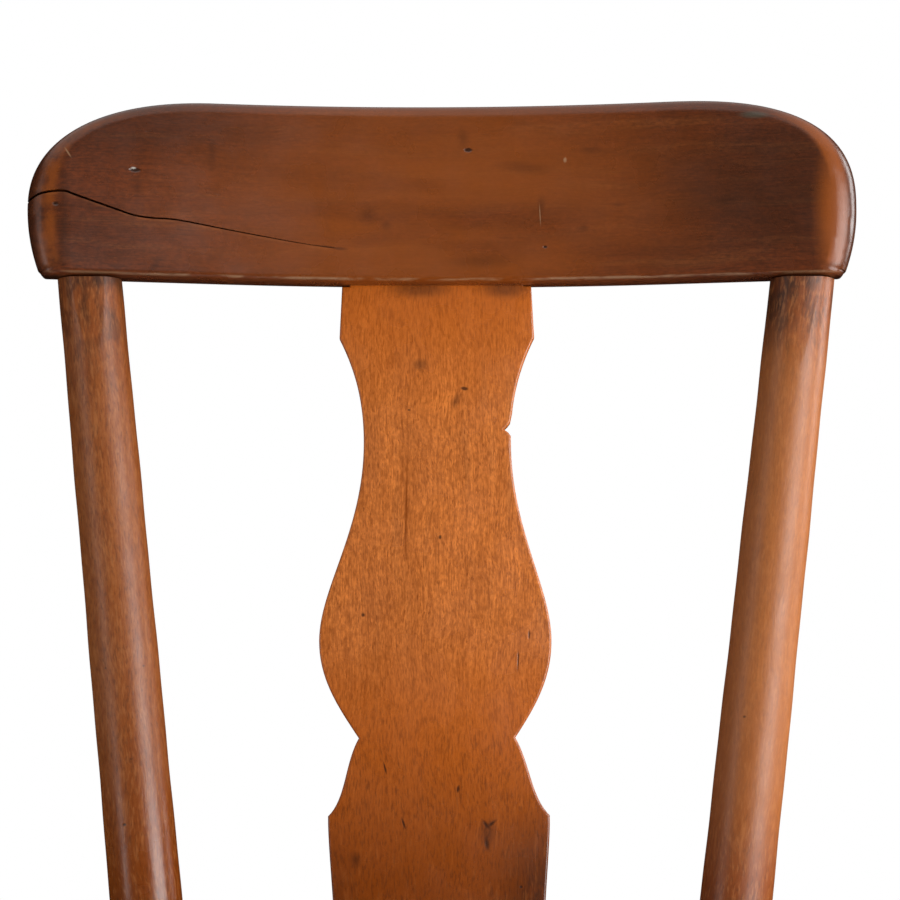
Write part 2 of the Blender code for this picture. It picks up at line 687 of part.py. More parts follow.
def tapered_slab(name, grow, width, parent, location, rotation):
    """A wedge's slab: thick at its head, which is at its origin, thin at its point on its +Z side."""
    shape = bmesh.new()
    bmesh.ops.create_cube(shape, size=1)
    for vert in shape.verts:
        at_point = vert.co.z > 0
        thickness = (WEDGE_POINT if at_point else WEDGE_HEAD) + 2 * grow
        vert.co.x *= thickness
        vert.co.y *= width
        vert.co.z = WEDGE_LENGTH + grow if at_point else -WEDGE_HEAD
    return add_object(name, mesh_of(shape, name), parent, location, rotation, cutter=True)


def make_wedge(name, holder, parent, head, inner, radius, trimmer):
    """A wedge driven into the end of a through tenon, and the kerf that it sits in."""
    turn = towards(head, inner)
    kerf = tapered_slab(f"{name}_kerf", FIT, 4 * radius, parent, head, turn)
    boolean(holder, kerf)
    slab = tapered_slab(f"{name}_slab", 0, 4 * radius, parent, head, turn)
    step = (Vector(inner) - Vector(head)).normalized() * WEDGE_LENGTH
    wedge = rod(name, radius, Vector(head) - step, Vector(head) + 2 * step, TENON_SEGMENTS, parent)
    wedge.data.materials.append(varnished_wood(f"{name}_wood", PEG_COLOUR, END_GRAIN_ROUGHNESS))
    boolean(wedge, slab, "INTERSECT")
    boolean(wedge, trimmer)
    return wedge


def leg_ends(side, front):
    """A leg's axis: its point on the floor and its point at the seat's top."""
    half_width = (SEAT_FRONT_WIDTH if front else SEAT_BACK_WIDTH) / 2
    top_x = half_width - LEG_SIDE_INSET
    top_y = SEAT_FRONT_Y + LEG_FRONT_INSET if front else SEAT_BACK_Y - LEG_BACK_INSET
    foot_x = top_x + (FRONT_LEG_SPLAY if front else BACK_LEG_SPLAY)
    foot_y = top_y - FRONT_LEG_RAKE if front else top_y + BACK_LEG_RAKE
    return Vector((side * foot_x, foot_y, 0)), Vector((side * top_x, top_y, SEAT_HEIGHT))


def make_leg(side, front, name, seat):
    """A turned leg, cut level at the floor, its tenon wedged through the seat."""
    foot, top = leg_ends(side, front)
    length = (top - foot).length
    tenon_start = length * (1 - SEAT_THICKNESS / SEAT_HEIGHT)
    profile = [(0, length + WEDGE_LENGTH), (LEG_TENON_RADIUS, length + WEDGE_LENGTH)]
    for step in range(PROFILE_STEPS, -1, -1):
        share = step / PROFILE_STEPS
        end_radius = LEG_FOOT_RADIUS + (LEG_TENON_RADIUS - LEG_FOOT_RADIUS) * share
        swell = (LEG_BULGE_RADIUS - end_radius) * math.sin(math.pi * share)
        profile.append((end_radius + swell, tenon_start * share))
    profile += [(LEG_FOOT_RADIUS, -LEG_FOOT_RADIUS), (0, -LEG_FOOT_RADIUS)]
    leg = turned(name, profile, LEG_SEGMENTS, location=foot, rotation=towards(foot, top))
    leg.data.materials.append(varnished_wood(f"{name}_varnish", LEG_COLOUR))
    boolean(leg, UNDER_FLOOR)
    boolean(leg, OVER_SEAT)
    hole_start = foot.lerp(top, 1 - 2 * SEAT_THICKNESS / SEAT_HEIGHT)
    hole_end = foot.lerp(top, 1 + SEAT_THICKNESS / SEAT_HEIGHT)
    hole = rod(f"{name}_hole", LEG_TENON_RADIUS + FIT, hole_start, hole_end, LEG_SEGMENTS, cutter=True)
    boolean(seat, hole)
    make_wedge(name.replace("leg", "leg_wedge"), leg, None, top, foot, LEG_TENON_RADIUS, OVER_SEAT)
    return leg


def stretcher_profile(length, grow):
    """A stretcher's turned outline, from its top to its bottom, grown all round for its sockets."""
    profile = [(0, length + grow)]
    for step in range(PROFILE_STEPS, -1, -1):
        share = step / PROFILE_STEPS
        swell = (STRETCHER_BULGE_RADIUS - STRETCHER_END_RADIUS) * math.sin(math.pi * share)
        radius = STRETCHER_END_RADIUS + swell
        height = length * share + grow * (2 * share - 1)
        profile.append((radius + grow, height))
    profile.append((0, -grow))
    return profile


def make_stretcher(name, level, one, other, legs):
    """A turned stretcher between two legs at a level, let into a socket in each."""
    points = []
    for side, front in (one, other):
        foot, top = leg_ends(side, front)
        points.append(foot.lerp(top, level / SEAT_HEIGHT))
    inward = (points[1] - points[0]).normalized() * STRETCHER_STOP
    start, end = points[0] + inward, points[1] - inward
    length = (end - start).length
    turn = towards(start, end)
    stretcher = turned(name, stretcher_profile(length, 0), STRETCHER_SEGMENTS, location=start, rotation=turn)
    stretcher.data.materials.append(varnished_wood(f"{name}_varnish", LEG_COLOUR))
    grown = stretcher_profile(length, FIT)
    socket = turned(f"{name}_socket", grown, STRETCHER_SEGMENTS, location=start, rotation=turn, cutter=True)
    boolean(legs[one], socket)
    boolean(legs[other], socket)


UNDER_FLOOR = block("under_floor", (-TRIM_SIZE, -TRIM_SIZE, -TRIM_SIZE), (TRIM_SIZE, TRIM_SIZE, 0))
OVER_SEAT = block(
    "over_seat",
    (-TRIM_SIZE, -TRIM_SIZE, SEAT_HEIGHT),
    (TRIM_SIZE, TRIM_SIZE, SEAT_HEIGHT + TRIM_SIZE),
)
UNDER_SEAT = block(
    "under_seat",
    (-TRIM_SIZE, -TRIM_SIZE, SEAT_HEIGHT - SEAT_THICKNESS - TRIM_SIZE),
    (TRIM_SIZE, TRIM_SIZE, SEAT_HEIGHT - SEAT_THICKNESS),
)


def make_chair():
    """Builds every piece of the chair."""
    seat = make_seat()
    crest = make_crest()
    make_splat(crest, seat)
    for side, word in ((LEFT, "left"), (RIGHT, "right")):
        post = make_post(side, word, crest, seat)
        make_peg(side, word, crest, post)
    legs = {}
    for side, word in ((LEFT, "left"), (RIGHT, "right")):
        legs[side, FRONT] = make_leg(side, FRONT, f"leg_front_{word}", seat)
        legs[side, REAR] = make_leg(side, REAR, f"leg_back_{word}", seat)
    make_stretcher("stretcher_front", FRONT_STRETCHER_LEVEL, (LEFT, FRONT), (RIGHT, FRONT), legs)
    make_stretcher("stretcher_back", BACK_STRETCHER_LEVEL, (LEFT, REAR), (RIGHT, REAR), legs)
    make_stretcher("stretcher_left", SIDE_STRETCHER_LEVEL, (LEFT, FRONT), (LEFT, REAR), legs)
    make_stretcher("stretcher_right", SIDE_STRETCHER_LEVEL, (RIGHT, FRONT), (RIGHT, REAR), legs)


make_chair()
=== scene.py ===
"""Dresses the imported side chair: finely modelled wooden pieces in old shellac, on a pale studio floor.

Every piece is modelled in its own frame, with its grain along one axis, and keeps that place in millimetres
as the point attribute "wood", which its material reads. "Left" and "right" are the viewer's, in front of
the chair, which faces -Y.
"""

import math

import bmesh
import bpy
from bpy.props import FloatProperty, FloatVectorProperty, IntProperty, PointerProperty
from mathutils import Matrix, Vector
from mathutils.geometry import interpolate_bezier


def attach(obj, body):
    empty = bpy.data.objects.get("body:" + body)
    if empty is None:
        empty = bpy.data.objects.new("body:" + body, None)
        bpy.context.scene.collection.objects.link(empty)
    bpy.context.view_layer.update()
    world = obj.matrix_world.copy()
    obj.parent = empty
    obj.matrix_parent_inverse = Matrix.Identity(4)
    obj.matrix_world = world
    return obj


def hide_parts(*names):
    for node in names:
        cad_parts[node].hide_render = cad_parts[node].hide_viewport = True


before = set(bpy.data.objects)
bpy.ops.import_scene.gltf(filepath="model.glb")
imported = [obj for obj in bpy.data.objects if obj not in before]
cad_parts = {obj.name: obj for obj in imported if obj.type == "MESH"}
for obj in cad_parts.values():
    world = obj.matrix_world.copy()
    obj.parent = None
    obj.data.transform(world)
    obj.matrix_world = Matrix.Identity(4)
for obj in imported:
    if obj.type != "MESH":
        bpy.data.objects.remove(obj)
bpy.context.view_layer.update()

bl_info = {
    "name": "Old Side Chair",
    "version": (1, 0, 0),
    "blender": (4, 5, 0),
    "location": "3D View > Sidebar > Chair",
    "description": "Models a worn, shellacked plank-seat side chair around its packed frame",
    "category": "Add Mesh",
}

BODY = "root"
MM = 1000.0
FIT = 0.0003
LEFT, RIGHT = -1, 1
SIDES = ((LEFT, "left"), (RIGHT, "right"))
WOOD = "wood"

# How finely curves are drawn: steps along outlines, sides and rings of turned pieces, strips of bent boards
CORNER_STEPS = 5
FLANK_STEPS = 12
SHOULDER_STEPS = 40
FRONT_ROLL_STEPS = 10
BACK_ROLL_STEPS = 5
SPLIT_STEPS = 4
BOW_STEPS = 12
SEAT_CORNER_STEPS = 18
ARRIS_SEGMENTS = 4
EDGE_SEGMENTS = 6
POST_SIDES = 72
POST_RINGS = 96
LEG_SIDES = 48
STRETCHER_SIDES = 32
SWELL_RINGS = 48
TENON_SIDES = 32
HOLE_SIDES = 40
PEG_SIDES = 24
CREST_STRIP = 0.004
SEAT_STRIP = 0.008

# The seat's holes: their start and end as shares of a leg, and how far above the seat a post's is cut
HOLE_START = 0.8
HOLE_END = 1.1
HOLE_ABOVE = 0.02

# How sharply the crest's rolls widen at its ends and how the seat's dish deepens, both as powers, and the
# posts' two wavers, in radians for each metre, with the faster one's share of the slower
END_SHARPNESS = 8
DISH_SHARPNESS = 1.5
SLOW_WAVER = 61
FAST_WAVER = 143
FAST_SHARE = 0.6

# The shellac's gloss, and the lengths in millimetres over which its sheen clouds and its grain wanders
SHELLAC_IOR = 1.5
POLISH = 0.17
CLOUD_LENGTH = 25
WANDER_LENGTH = 45
WANDER = 7.0

# The studio: where the lamps point, each lamp's place and extent, and where the floor fades to white
LAMP_AIM = (0, 0.1, 0.65)
LAMPS = {
    "key": ((1.30, -0.94, 0.72), (1.15, 1.05)),
    "side": ((1.70, 0.50, 1.22), (0.6, 1.2)),
    "fill": ((-1.9, -0.95, 1.2), (0.9, 1.3)),
    "low": ((-1.35, -0.75, 0.60), (0.22, 0.45)),
}
FADE_START = 0.7
FADE_END = 2.6
CAMERA_RANGE = 200.0


def hex_colour(code):
    """A linear colour from its sRGB hex value."""
    shares = [int(code[start:start + 2], 16) / 255 for start in (1, 3, 5)]
    return tuple(share / 12.92 if share <= 0.04045 else ((share + 0.055) / 1.055) ** 2.4 for share in shares)


def size(name, default, description):
    """A length that the panel shows."""
    return FloatProperty(name=name, description=description, default=default, unit="LENGTH", precision=4)


def tone(name, default, description):
    """A colour that the panel shows."""
    return FloatVectorProperty(
        name=name, description=description, default=hex_colour(default), subtype="COLOR", min=0.0, max=1.0
    )


class BackSizes(bpy.types.PropertyGroup):
    """Where the back stands, as one leaning frame on the seat's top."""

    lean: FloatProperty(
        name="Lean", description="How far the back leans", default=math.radians(5.0), subtype="ANGLE"
    )
    level: size("Level", 0.430, "Height of the seat's top")
    setback: size("Setback", 0.150, "Distance of the back's foot behind the chair's middle")
    height: size("Height", 0.3463, "From the seat up to the crest's lower edge, along the back")


class CrestSizes(bpy.types.PropertyGroup):
    """The crest rail: a board with rolled edges, bent so that its ends come forward."""

    width: size("Width", 0.430, "Across its widest level")
    foot_width: size("Foot width", 0.416, "Across its lower corners")
    height: size("Height", 0.0935, "At its left shoulder")
    right_rise: size("Right rise", 0.001, "How much higher its right half is")
    thickness: size("Thickness", 0.025, "Front to back")
    widest_level: size("Widest level", 0.0354, "Where the ends bulge most, above the lower edge")
    corner_reach: size("Corner reach", 0.099, "Length of each rounded upper corner")
    foot_round: size("Foot rounding", 0.0025, "Radius of the lower corners")
    bend_depth: size("Bend depth", 0.036, "How far the ends stand in front of the middle")
    bent_reach: size("Bent reach", 0.120, "Half the length that is bent")
    left_fullness: FloatProperty(name="Left fullness", description="Of the left corner", default=2.27)
    right_fullness: FloatProperty(name="Right fullness", description="Of the right corner", default=2.58)
    end_roll_width: size("End roll width", 0.020, "Width of the rolled end on the front")
    end_roll_depth: size("End roll depth", 0.015, "Depth of the rolled end")
    top_roll_width: size("Top roll width", 0.007, "Height of the rolled top")
    top_roll_depth: size("Top roll depth", 0.006, "Depth of the rolled top")
    lower_roll: size("Lower roll", 0.0025, "Rounding along the lower edge")
    back_roll: size("Back roll", 0.0045, "Rounding round the back")
    split_width: size("Split width", 0.0015, "Gap of the split at the crest's end")
    split_tip_width: size("Split tip width", 0.00025, "Gap of the split at its tip")
    split_depth: size("Split depth", 0.019, "Depth of the split at the crest's end")
    split_tip_depth: size("Split tip depth", 0.003, "Depth of the split at its tip")
    peg_radius: size("Peg radius", 0.0030, "Of the pegs that lock the posts")
    peg_level: size("Peg level", 0.018, "Of the pegs, above the crest's lower edge")
    peg_length: size("Peg length", 0.017, "Of the pegs")


class PostSizes(bpy.types.PropertyGroup):
    """The two tapering posts."""

    top_radius: size("Top radius", 0.0165, "At the crest")
    foot_radius: size("Foot radius", 0.0186, "At the seat")
    setback: size("Setback", 0.003, "Behind the crest's middle plane")
    left_overhang: size("Left overhang", 0.0318, "From the crest's left end to the post's axis")
    right_overhang: size("Right overhang", 0.0277, "From the crest's right end to the post's axis")
    left_margin: size("Left margin", 0.0290, "From the seat's back corner to the left post's axis")
    right_margin: size("Right margin", 0.0302, "From the seat's back corner to the right post's axis")
    tenon_radius: size("Tenon radius", 0.0080, "Of the upper tenon")
    tenon_length: size("Tenon length", 0.036, "Of the upper tenon")
    foot_tenon_radius: size("Foot tenon radius", 0.0120, "Of the tenon through the seat")
    flat_depth: size("Flat depth", 0.0023, "Of the flat shaved on the front at the top")
    flat_length: size("Flat length", 0.040, "Of the flat shaved on the front at the top")
    waver: size("Waver", 0.00018, "How far the hand turning strays from a true taper")


class SplatSizes(bpy.types.PropertyGroup):
    """The vase-shaped splat. Its half-widths and levels are in VASE, below."""

    thickness: size("Thickness", 0.011, "Front to back")
    setback: size("Setback", 0.004, "Behind the back frame's plane")
    top_offset: size("Top offset", -0.0029, "Of its top from the chair's middle")
    foot_offset: size("Foot offset", -0.0013, "Of its foot from the chair's middle")
    tenon_shoulder: size("Tenon shoulder", 0.004, "Beside its tongue")
    tenon_length: size("Tongue length", 0.014, "Up into the crest")
    foot_length: size("Foot length", 0.020, "Down into the seat")
    edge_round: size("Arris rounding", 0.0012, "Of its worn arrises")


class SeatSizes(bpy.types.PropertyGroup):
    """The plank seat."""

    thickness: size("Thickness", 0.042, "Of the plank")
    front_width: size("Front width", 0.410, "Across the front")
    back_width: size("Back width", 0.356, "Across the back")
    front: size("Front", -0.199, "Place of the front edge, before its bow")
    back: size("Back", 0.178, "Place of the back edge")
    bow: size("Bow", 0.008, "Of the front edge")
    front_corner: size("Front corner", 0.060, "Radius of the front corners")
    back_corner: size("Back corner", 0.040, "Radius of the back corners")
    edge_round: size("Edge rounding", 0.007, "Of the plank's edges")
    dish_depth: size("Dish depth", 0.008, "Of the hollow in its top")
    dish_side: size("Dish side margin", 0.055, "Beside the hollow")
    dish_front: size("Dish front margin", 0.045, "In front of the hollow")
    dish_back: size("Dish back margin", 0.090, "Behind the hollow")


class LegSizes(bpy.types.PropertyGroup):
    """The four turned legs, their wedges and the four stretchers."""

    foot_radius: size("Foot radius", 0.0115, "At the floor")
    bulge_radius: size("Bulge radius", 0.0170, "At the widest")
    tenon_radius: size("Tenon radius", 0.0108, "In the seat")
    side_inset: size("Side inset", 0.055, "From the seat's side to the leg's axis")
    front_inset: size("Front inset", 0.074, "From the seat's front to the front legs")
    back_inset: size("Back inset", 0.098, "From the seat's back to the back legs")
    front_splay: size("Front splay", 0.040, "Sideways, of the front legs")
    front_rake: size("Front rake", 0.047, "Forwards, of the front legs")
    back_splay: size("Back splay", 0.043, "Sideways, of the back legs")
    back_rake: size("Back rake", 0.115, "Backwards, of the back legs")
    wedge_head: size("Wedge head", 0.0040, "Thickness of a wedge's head")
    wedge_point: size("Wedge point", 0.0014, "Thickness of a wedge's point")
    wedge_length: size("Wedge length", 0.024, "How deep a wedge goes")
    stretcher_end: size("Stretcher end", 0.0072, "Radius in the leg")
    stretcher_bulge: size("Stretcher bulge", 0.0108, "Radius at the middle")
    stretcher_stop: size("Stretcher stop", 0.0035, "From the leg's axis to the stretcher's end")
    side_level: size("Side level", 0.150, "Height of the side stretchers")
    front_level: size("Front level", 0.208, "Height of the front stretcher")
    back_level: size("Back level", 0.190, "Height of the back stretcher")


class Colours(bpy.types.PropertyGroup):
    """The shellac's colours on each piece, what wear and dirt make of them, and the painted shade and
    highlights laid on with them.
    """

    crest: tone("Crest", "#6f3416", "Red-brown shellac on the crest")
    crest_amber: tone("Crest amber", "#8f4813", "Where the crest's shellac is thin")
    splat: tone("Splat", "#e6853a", "Orange-brown shellac on the splat")
    splat_rich: tone("Splat rich", "#b65a0f", "Where the splat's shellac is thicker")
    # Also laid on as painted shade: the splat darkens towards the seat, and the posts' tops under the crest.
    dark_tone_and_shade: tone("Splat foot", "#7c3804", "Where the splat was never wiped")
    post: tone("Posts", "#a45d25", "Shellac on the posts")
    lower: tone("Seat and legs", "#7d441f", "Shellac on the seat, legs and stretchers")
    worn: tone("Worn wood", "#b5713c", "Wood that hands have rubbed bare")
    # Also laid on the crest's lower arris, where it is partly a painted highlight.
    scuffed_and_lit: tone("Scuffed", "#a98765", "Shellac scuffed dull and pale along sharp edges")
    weathered: tone("Weathered", "#4b483d", "Bare wood gone grey at the crest's upper right corner")
    # A painted highlight: the glint of a nail head.
    nail_glint: tone("Nail", "#b9b4ab", "The glint in the dent on the crest's left")
    streak: tone("Streaks", "#7e3c12", "The darker fibres and rays of the beech")
    # Also laid on as painted shade: at the crest's right end, outer rolls and lower edge, on the posts under
    # the crest and at the splat's lower corners.
    grime_and_shade: tone("Grime", "#2e1a10", "Old dirt in corners, pores and dents")
    end_grain: tone("End grain", "#5b3519", "Pegs, wedges and tenon ends")


class StageSettings(bpy.types.PropertyGroup):
    """The camera and the light."""

    eye: FloatVectorProperty(
        name="Eye",
        description="The camera's place",
        default=(0.00415, -1.7683, 0.6885),
        subtype="TRANSLATION",
    )
    lens: FloatProperty(name="Lens", description="Focal length in millimetres", default=147.92)
    sensor: FloatProperty(name="Sensor", description="Sensor width in millimetres", default=36.0)
    key_watts: FloatProperty(name="Key", description="Power of the soft box on the front right", default=27.0)
    side_watts: FloatProperty(name="Side", description="Power of the soft box on the right", default=20.0)
    fill_watts: FloatProperty(name="Fill", description="Power of the soft box on the left", default=2.2)
    low_watts: FloatProperty(name="Low", description="Power of the small lamp low on the left", default=1.5)
    room: FloatProperty(name="Room", description="Strength of the light from all round", default=0.44)
    drape_start: size("Drape start", 0.4, "Where the black drape on the floor starts")
    drape_radius: size("Drape radius", 5.5, "Where the black drape rises")
    drape_height: size("Drape height", 5.0, "How high the black drape hangs")
    floor_radius: size("Floor radius", 60.0, "How far the floor reaches")
    sides: IntProperty(name="Floor sides", description="Of the round floor", default=96)


class ChairSettings(bpy.types.PropertyGroup):
    """All the chair's sizes and colours."""

    back: PointerProperty(type=BackSizes, name="Back", description="Sizes of the back")
    crest: PointerProperty(type=CrestSizes, name="Crest", description="Sizes of the crest rail")
    post: PointerProperty(type=PostSizes, name="Posts", description="Sizes of the posts")
    splat: PointerProperty(type=SplatSizes, name="Splat", description="Sizes of the splat")
    seat: PointerProperty(type=SeatSizes, name="Seat", description="Sizes of the seat")
    leg: PointerProperty(type=LegSizes, name="Legs", description="Sizes of the legs and stretchers")
    colours: PointerProperty(type=Colours, name="Colours", description="Of the shellac, wear and dirt")
    stage: PointerProperty(type=StageSettings, name="Stage", description="Camera and light")


# The split in the crest's left end, in metres from the crest's middle and its lower edge
SPLIT_PATH = (
    (-0.2210, 0.0358),
    (-0.2128, 0.0398),
    (-0.2066, 0.0426),
    (-0.1956, 0.0438),
    (-0.1887, 0.0417),
    (-0.1692, 0.0353),
    (-0.1596, 0.0323),
    (-0.1499, 0.0311),
    (-0.1371, 0.0305),
    (-0.1105, 0.0261),
    (-0.0742, 0.0202),
    (-0.0560, 0.0179),
)

# The splat's half-widths and its distances below the crest, in metres
VASE = {
    "top": (0.0498, 0.0),
    "shoulder": (0.0512, 0.0277),
    "neck": (0.0386, 0.0825),
    "bulb": (0.0607, 0.1869),
    "waist": (0.0408, 0.2375),
    "lower shoulder": (0.0577, 0.2779),
    "foot": (0.0542, 0.3408),
}
BULB_DRIFT = -0.0015
WAIST_DRIFT = -0.0008
CHIP_LEVEL = 0.0762
CHIP_HEIGHT = 0.0100
CHIP_DEPTH = 0.0036
CHIP_FLARE = 0.0008

# Marks on the front of the crest and the splat, in millimetres on the piece: each one's place across and up,
# its half-width and half-height, and where given its turn in degrees and the share of it that is solid
CREST_SMUDGES = (
    (11, 76.6, 5, 8),
    (-38.8, 35.6, 7, 7),
    (-29.4, 30.4, 4, 4),
    (146.9, 40.6, 11, 4, -12),
    (43.5, 60.4, 22, 5, 6),
    (77.5, 69.3, 9, 3),
    (-148.2, 7.1, 8, 3, -50),
    (-158.1, 45.4, 2.2, 12),
    (52, 40, 3, 10),
    (74, 28.1, 5, 2.5),
    (20, 10.9, 28, 5),
    (-120, 66, 3, 14),
    (92, 40, 5, 2),
)
CREST_DENTS = (
    (-159.2, 55.9, 3.6, 1.5, 0, 0.45),
    (13.6, 70.2, 2.8, 1.5, 0, 0.4),
    (142.6, 0.6, 2.4, 1.3, 0, 0.4),
    (53.9, 18.5, 1.4, 0.9, 0, 0.4),
)
CREST_SCRATCHES = (
    (51.3, 35.4, 0.35, 7.5, -3, 0.3),
    (59.0, 0.6, 4.6, 1.5, -14, 0.5),
    (64.4, 64.3, 1.2, 1.8, 0, 0.4),
)
SPLIT_TAIL = ((-60, 18.5, 9, 0.8, 6, 0.3), (-54, 17.7, 6, 1.2, 4, 0.2))
SPLAT_SHADOWS = ((-9, -1.5, 22, 7, 0, 0.2), (36, -1.5, 18, 8, 0, 0.2))
SPLAT_CRACK = ((-16.4, -118, 0.8, 35, 1.3, 0.3),)
SPLAT_SMUDGES = (
    (-43.4, -300.5, 4.5, 6.5, -8),
    (25.5, -287, 6.5, 10),
    (10, -61, 3, 7, 20),
    (-9, -42, 7, 5),
)
SPLAT_DENTS = (
    (14.4, -54.6, 2.6, 1.3, 8, 0.4),
    (-14.8, -65.8, 1.1, 0.6, 0, 0.4),
    (1.2, -132.7, 1.2, 1.6, 0, 0.3),
    (-39.2, -173.3, 1.3, 1.5, 0, 0.3),
    (47.5, -184.1, 0.7, 3.4, 0, 0.3),
    (41.7, -197, 0.6, 7.5, 2, 0.3),
    (-28.0, -253, 0.7, 4.2, -14, 0.3),
    (10.0, -264, 1.1, 2.8, 10, 0.3),
    (-18.4, -281.8, 0.8, 4.5, -20, 0.3),
    (24.5, -282.5, 1.5, 4.6, -38, 0.1),
    (27.5, -282.0, 1.3, 4.6, 52, 0.1),
    (24.9, -292.5, 2.0, 5.4, -8, 0.1),
    (42.5, -314.8, 1.0, 1.0, 0, 0.4),
)

# How far up a leg its tenon is inside the seat, and shows only its end grain, in millimetres
TENON_LEVEL = 404

# The pale lip under the split, a painted highlight where its lower lip catches the light: how far it runs
# past each bend, how far below the gap it is, its half-width
LIP_OVERLAP = 1.5
LIP_DROP = 1.0
LIP_WIDTH = 0.9

# Marks on the posts: angles from the front in degrees and levels above the seat in millimetres
POST_SHADOWS = {
    LEFT: ((35, 347, (22, 22, 7)), (80, 345, (12, 12, 12))),
    RIGHT: ((-58, 345, (22, 22, 46)), (-30, 346, (17, 17, 9)), (4, 346, (11, 11, 8))),
}
POST_DRIPS = {
    LEFT: ((8, 341), (38, 340), (50, 339)),
    RIGHT: ((2, 339), (10, 338), (-6, 340)),
}
DRIP_RADII = (2.0, 2.0, 6.5)
POST_NICKS = {
    LEFT: ((-21, 192.6), (7, 135.3), (-30, 144.6), (38, 146.0), (-49, 169.3), (1, 98.1), (-20, 64.7)),
    RIGHT: ((4, 341.3), (-11, 299.6), (14, 228.0), (-24, 120.0)),
}
NICK_RADII = (1.1, 1.6, 1.1)


def polar(centre, radius, start, end, steps):
    """Points along a circular arc, with its angles in degrees."""
    angles = [math.radians(start + (end - start) * step / steps) for step in range(steps + 1)]
    return [(centre[0] + radius * math.cos(angle), centre[1] + radius * math.sin(angle)) for angle in angles]


def bezier(start, start_handle, end_handle, end, steps):
    """Points along a Bezier curve, without its last."""
    knots = [Vector((*point, 0)) for point in (start, start_handle, end_handle, end)]
    points = interpolate_bezier(*knots, steps + 1)
    return [(point.x, point.y) for point in points[:-1]]


def board(outline, thickness):
    """An upright board's bmesh from its outline in x and z."""
    shape = bmesh.new()
    rim = [shape.verts.new((x, -thickness / 2, z)) for x, z in outline]
    edges = [shape.edges.new(pair) for pair in zip(rim, rim[1:] + rim[:1])]
    bmesh.ops.edgeloop_fill(shape, edges=edges)
    raised = bmesh.ops.extrude_face_region(shape, geom=shape.faces[:], use_keep_orig=True)["geom"]
    verts = [item for item in raised if isinstance(item, bmesh.types.BMVert)]
    bmesh.ops.translate(shape, vec=(0, thickness, 0), verts=verts)
    bmesh.ops.recalc_face_normals(shape, faces=shape.faces)
    return shape


def slice_up(shape, axis, low, high, pitch):
    """Cuts a shape across one axis into strips of about a pitch, so that it can bend and shade well."""
    count = max(1, round((high - low) / pitch))
    normal = Vector([float(index == axis) for index in range(3)])
    for step in range(1, count):
        everything = shape.verts[:] + shape.edges[:] + shape.faces[:]
        place = normal * (low + (high - low) * step / count)
        bmesh.ops.bisect_plane(shape, geom=everything, plane_co=place, plane_no=normal)


def lathe(profile, segments):
    """A shape turned round Z from (radius, height) points, closed if they start and end on the axis."""
    shape = bmesh.new()
    verts = [shape.verts.new((radius, 0, height)) for radius, height in profile]
    edges = [shape.edges.new(pair) for pair in zip(verts, verts[1:])]
    bmesh.ops.spin(
        shape,
        geom=verts + edges,
        cent=(0, 0, 0),
        axis=(0, 0, 1),
        angle=math.tau,
        steps=segments,
        use_merge=True,
    )
    bmesh.ops.remove_doubles(shape, verts=shape.verts, dist=1e-6)
    bmesh.ops.recalc_face_normals(shape, faces=shape.faces)
    return shape


def rod(radius, start, end, segments):
    """A closed cylinder between two points."""
    start, end = Vector(start), Vector(end)
    shape = bmesh.new()
    turn = (end - start).to_track_quat("Z", "Y").to_matrix().to_4x4()
    bmesh.ops.create_cone(
        shape,
        cap_ends=True,
        segments=segments,
        radius1=radius,
        radius2=radius,
        depth=(end - start).length,
        matrix=Matrix.Translation((start + end) / 2) @ turn,
    )
    return shape


def box(low, high):
    """A closed box between two corners."""
    shape = bmesh.new()
    bmesh.ops.create_cube(shape, size=1)
    bmesh.ops.scale(shape, vec=Vector(high) - Vector(low), verts=shape.verts)
    bmesh.ops.translate(shape, vec=(Vector(high) + Vector(low)) / 2, verts=shape.verts)
    return shape


def swelling(start_radius, end_radius, bulge_radius, length):
    """A turned profile from its top down: an even taper that swells in the middle."""
    profile = []
    for step in range(SWELL_RINGS, -1, -1):
        share = step / SWELL_RINGS
        radius = start_radius + (end_radius - start_radius) * share
        profile.append((radius + (bulge_radius - radius) * math.sin(math.pi * share), length * share))
    return profile


def round_edges(shape, edges, radius, segments):
    """Rounds some of a shape's edges."""
    bmesh.ops.bevel(
        shape,
        geom=edges,
        offset=radius,
        offset_type="OFFSET",
        segments=segments,
        profile=0.5,
        affect="EDGES",
        clamp_overlap=True,
        material=-1,
    )


def trim(shape, point, normal):
    """Cuts a closed shape flat at a plane and closes it again."""
    everything = shape.verts[:] + shape.edges[:] + shape.faces[:]
    cut = bmesh.ops.bisect_plane(shape, geom=everything, plane_co=point, plane_no=normal, clear_outer=True)
    rim = [item for item in cut["geom_cut"] if isinstance(item, bmesh.types.BMEdge)]
    bmesh.ops.edgeloop_fill(shape, edges=rim)


def loose_object(shape, name):
    """An object of a bmesh, which it frees."""
    mesh = bpy.data.meshes.new(name)
    shape.to_mesh(mesh)
    shape.free()
    obj = bpy.data.objects.new(name, mesh)
    bpy.context.scene.collection.objects.link(obj)
    return obj


def combined(shape, cuts=(), joins=()):
    """A shape with others joined on and cut out of it, as a new bmesh. All of them are freed."""
    body = loose_object(shape, "blank")
    tools = []
    for operation, shapes in (("UNION", joins), ("DIFFERENCE", cuts)):
        for other in shapes:
            tool = loose_object(other, "tool")
            tools.append(tool)
            modifier = body.modifiers.new(operation, "BOOLEAN")
            modifier.operation = operation
            modifier.solver = "EXACT"
            modifier.object = tool
    graph = bpy.context.evaluated_depsgraph_get()
    mesh = bpy.data.meshes.new_from_object(body.evaluated_get(graph))
    result = bmesh.new()
    result.from_mesh(mesh)
    bpy.data.meshes.remove(mesh)
    for obj in (body, *tools):
        data = obj.data
        bpy.data.objects.remove(obj)
        bpy.data.meshes.remove(data)
    return result


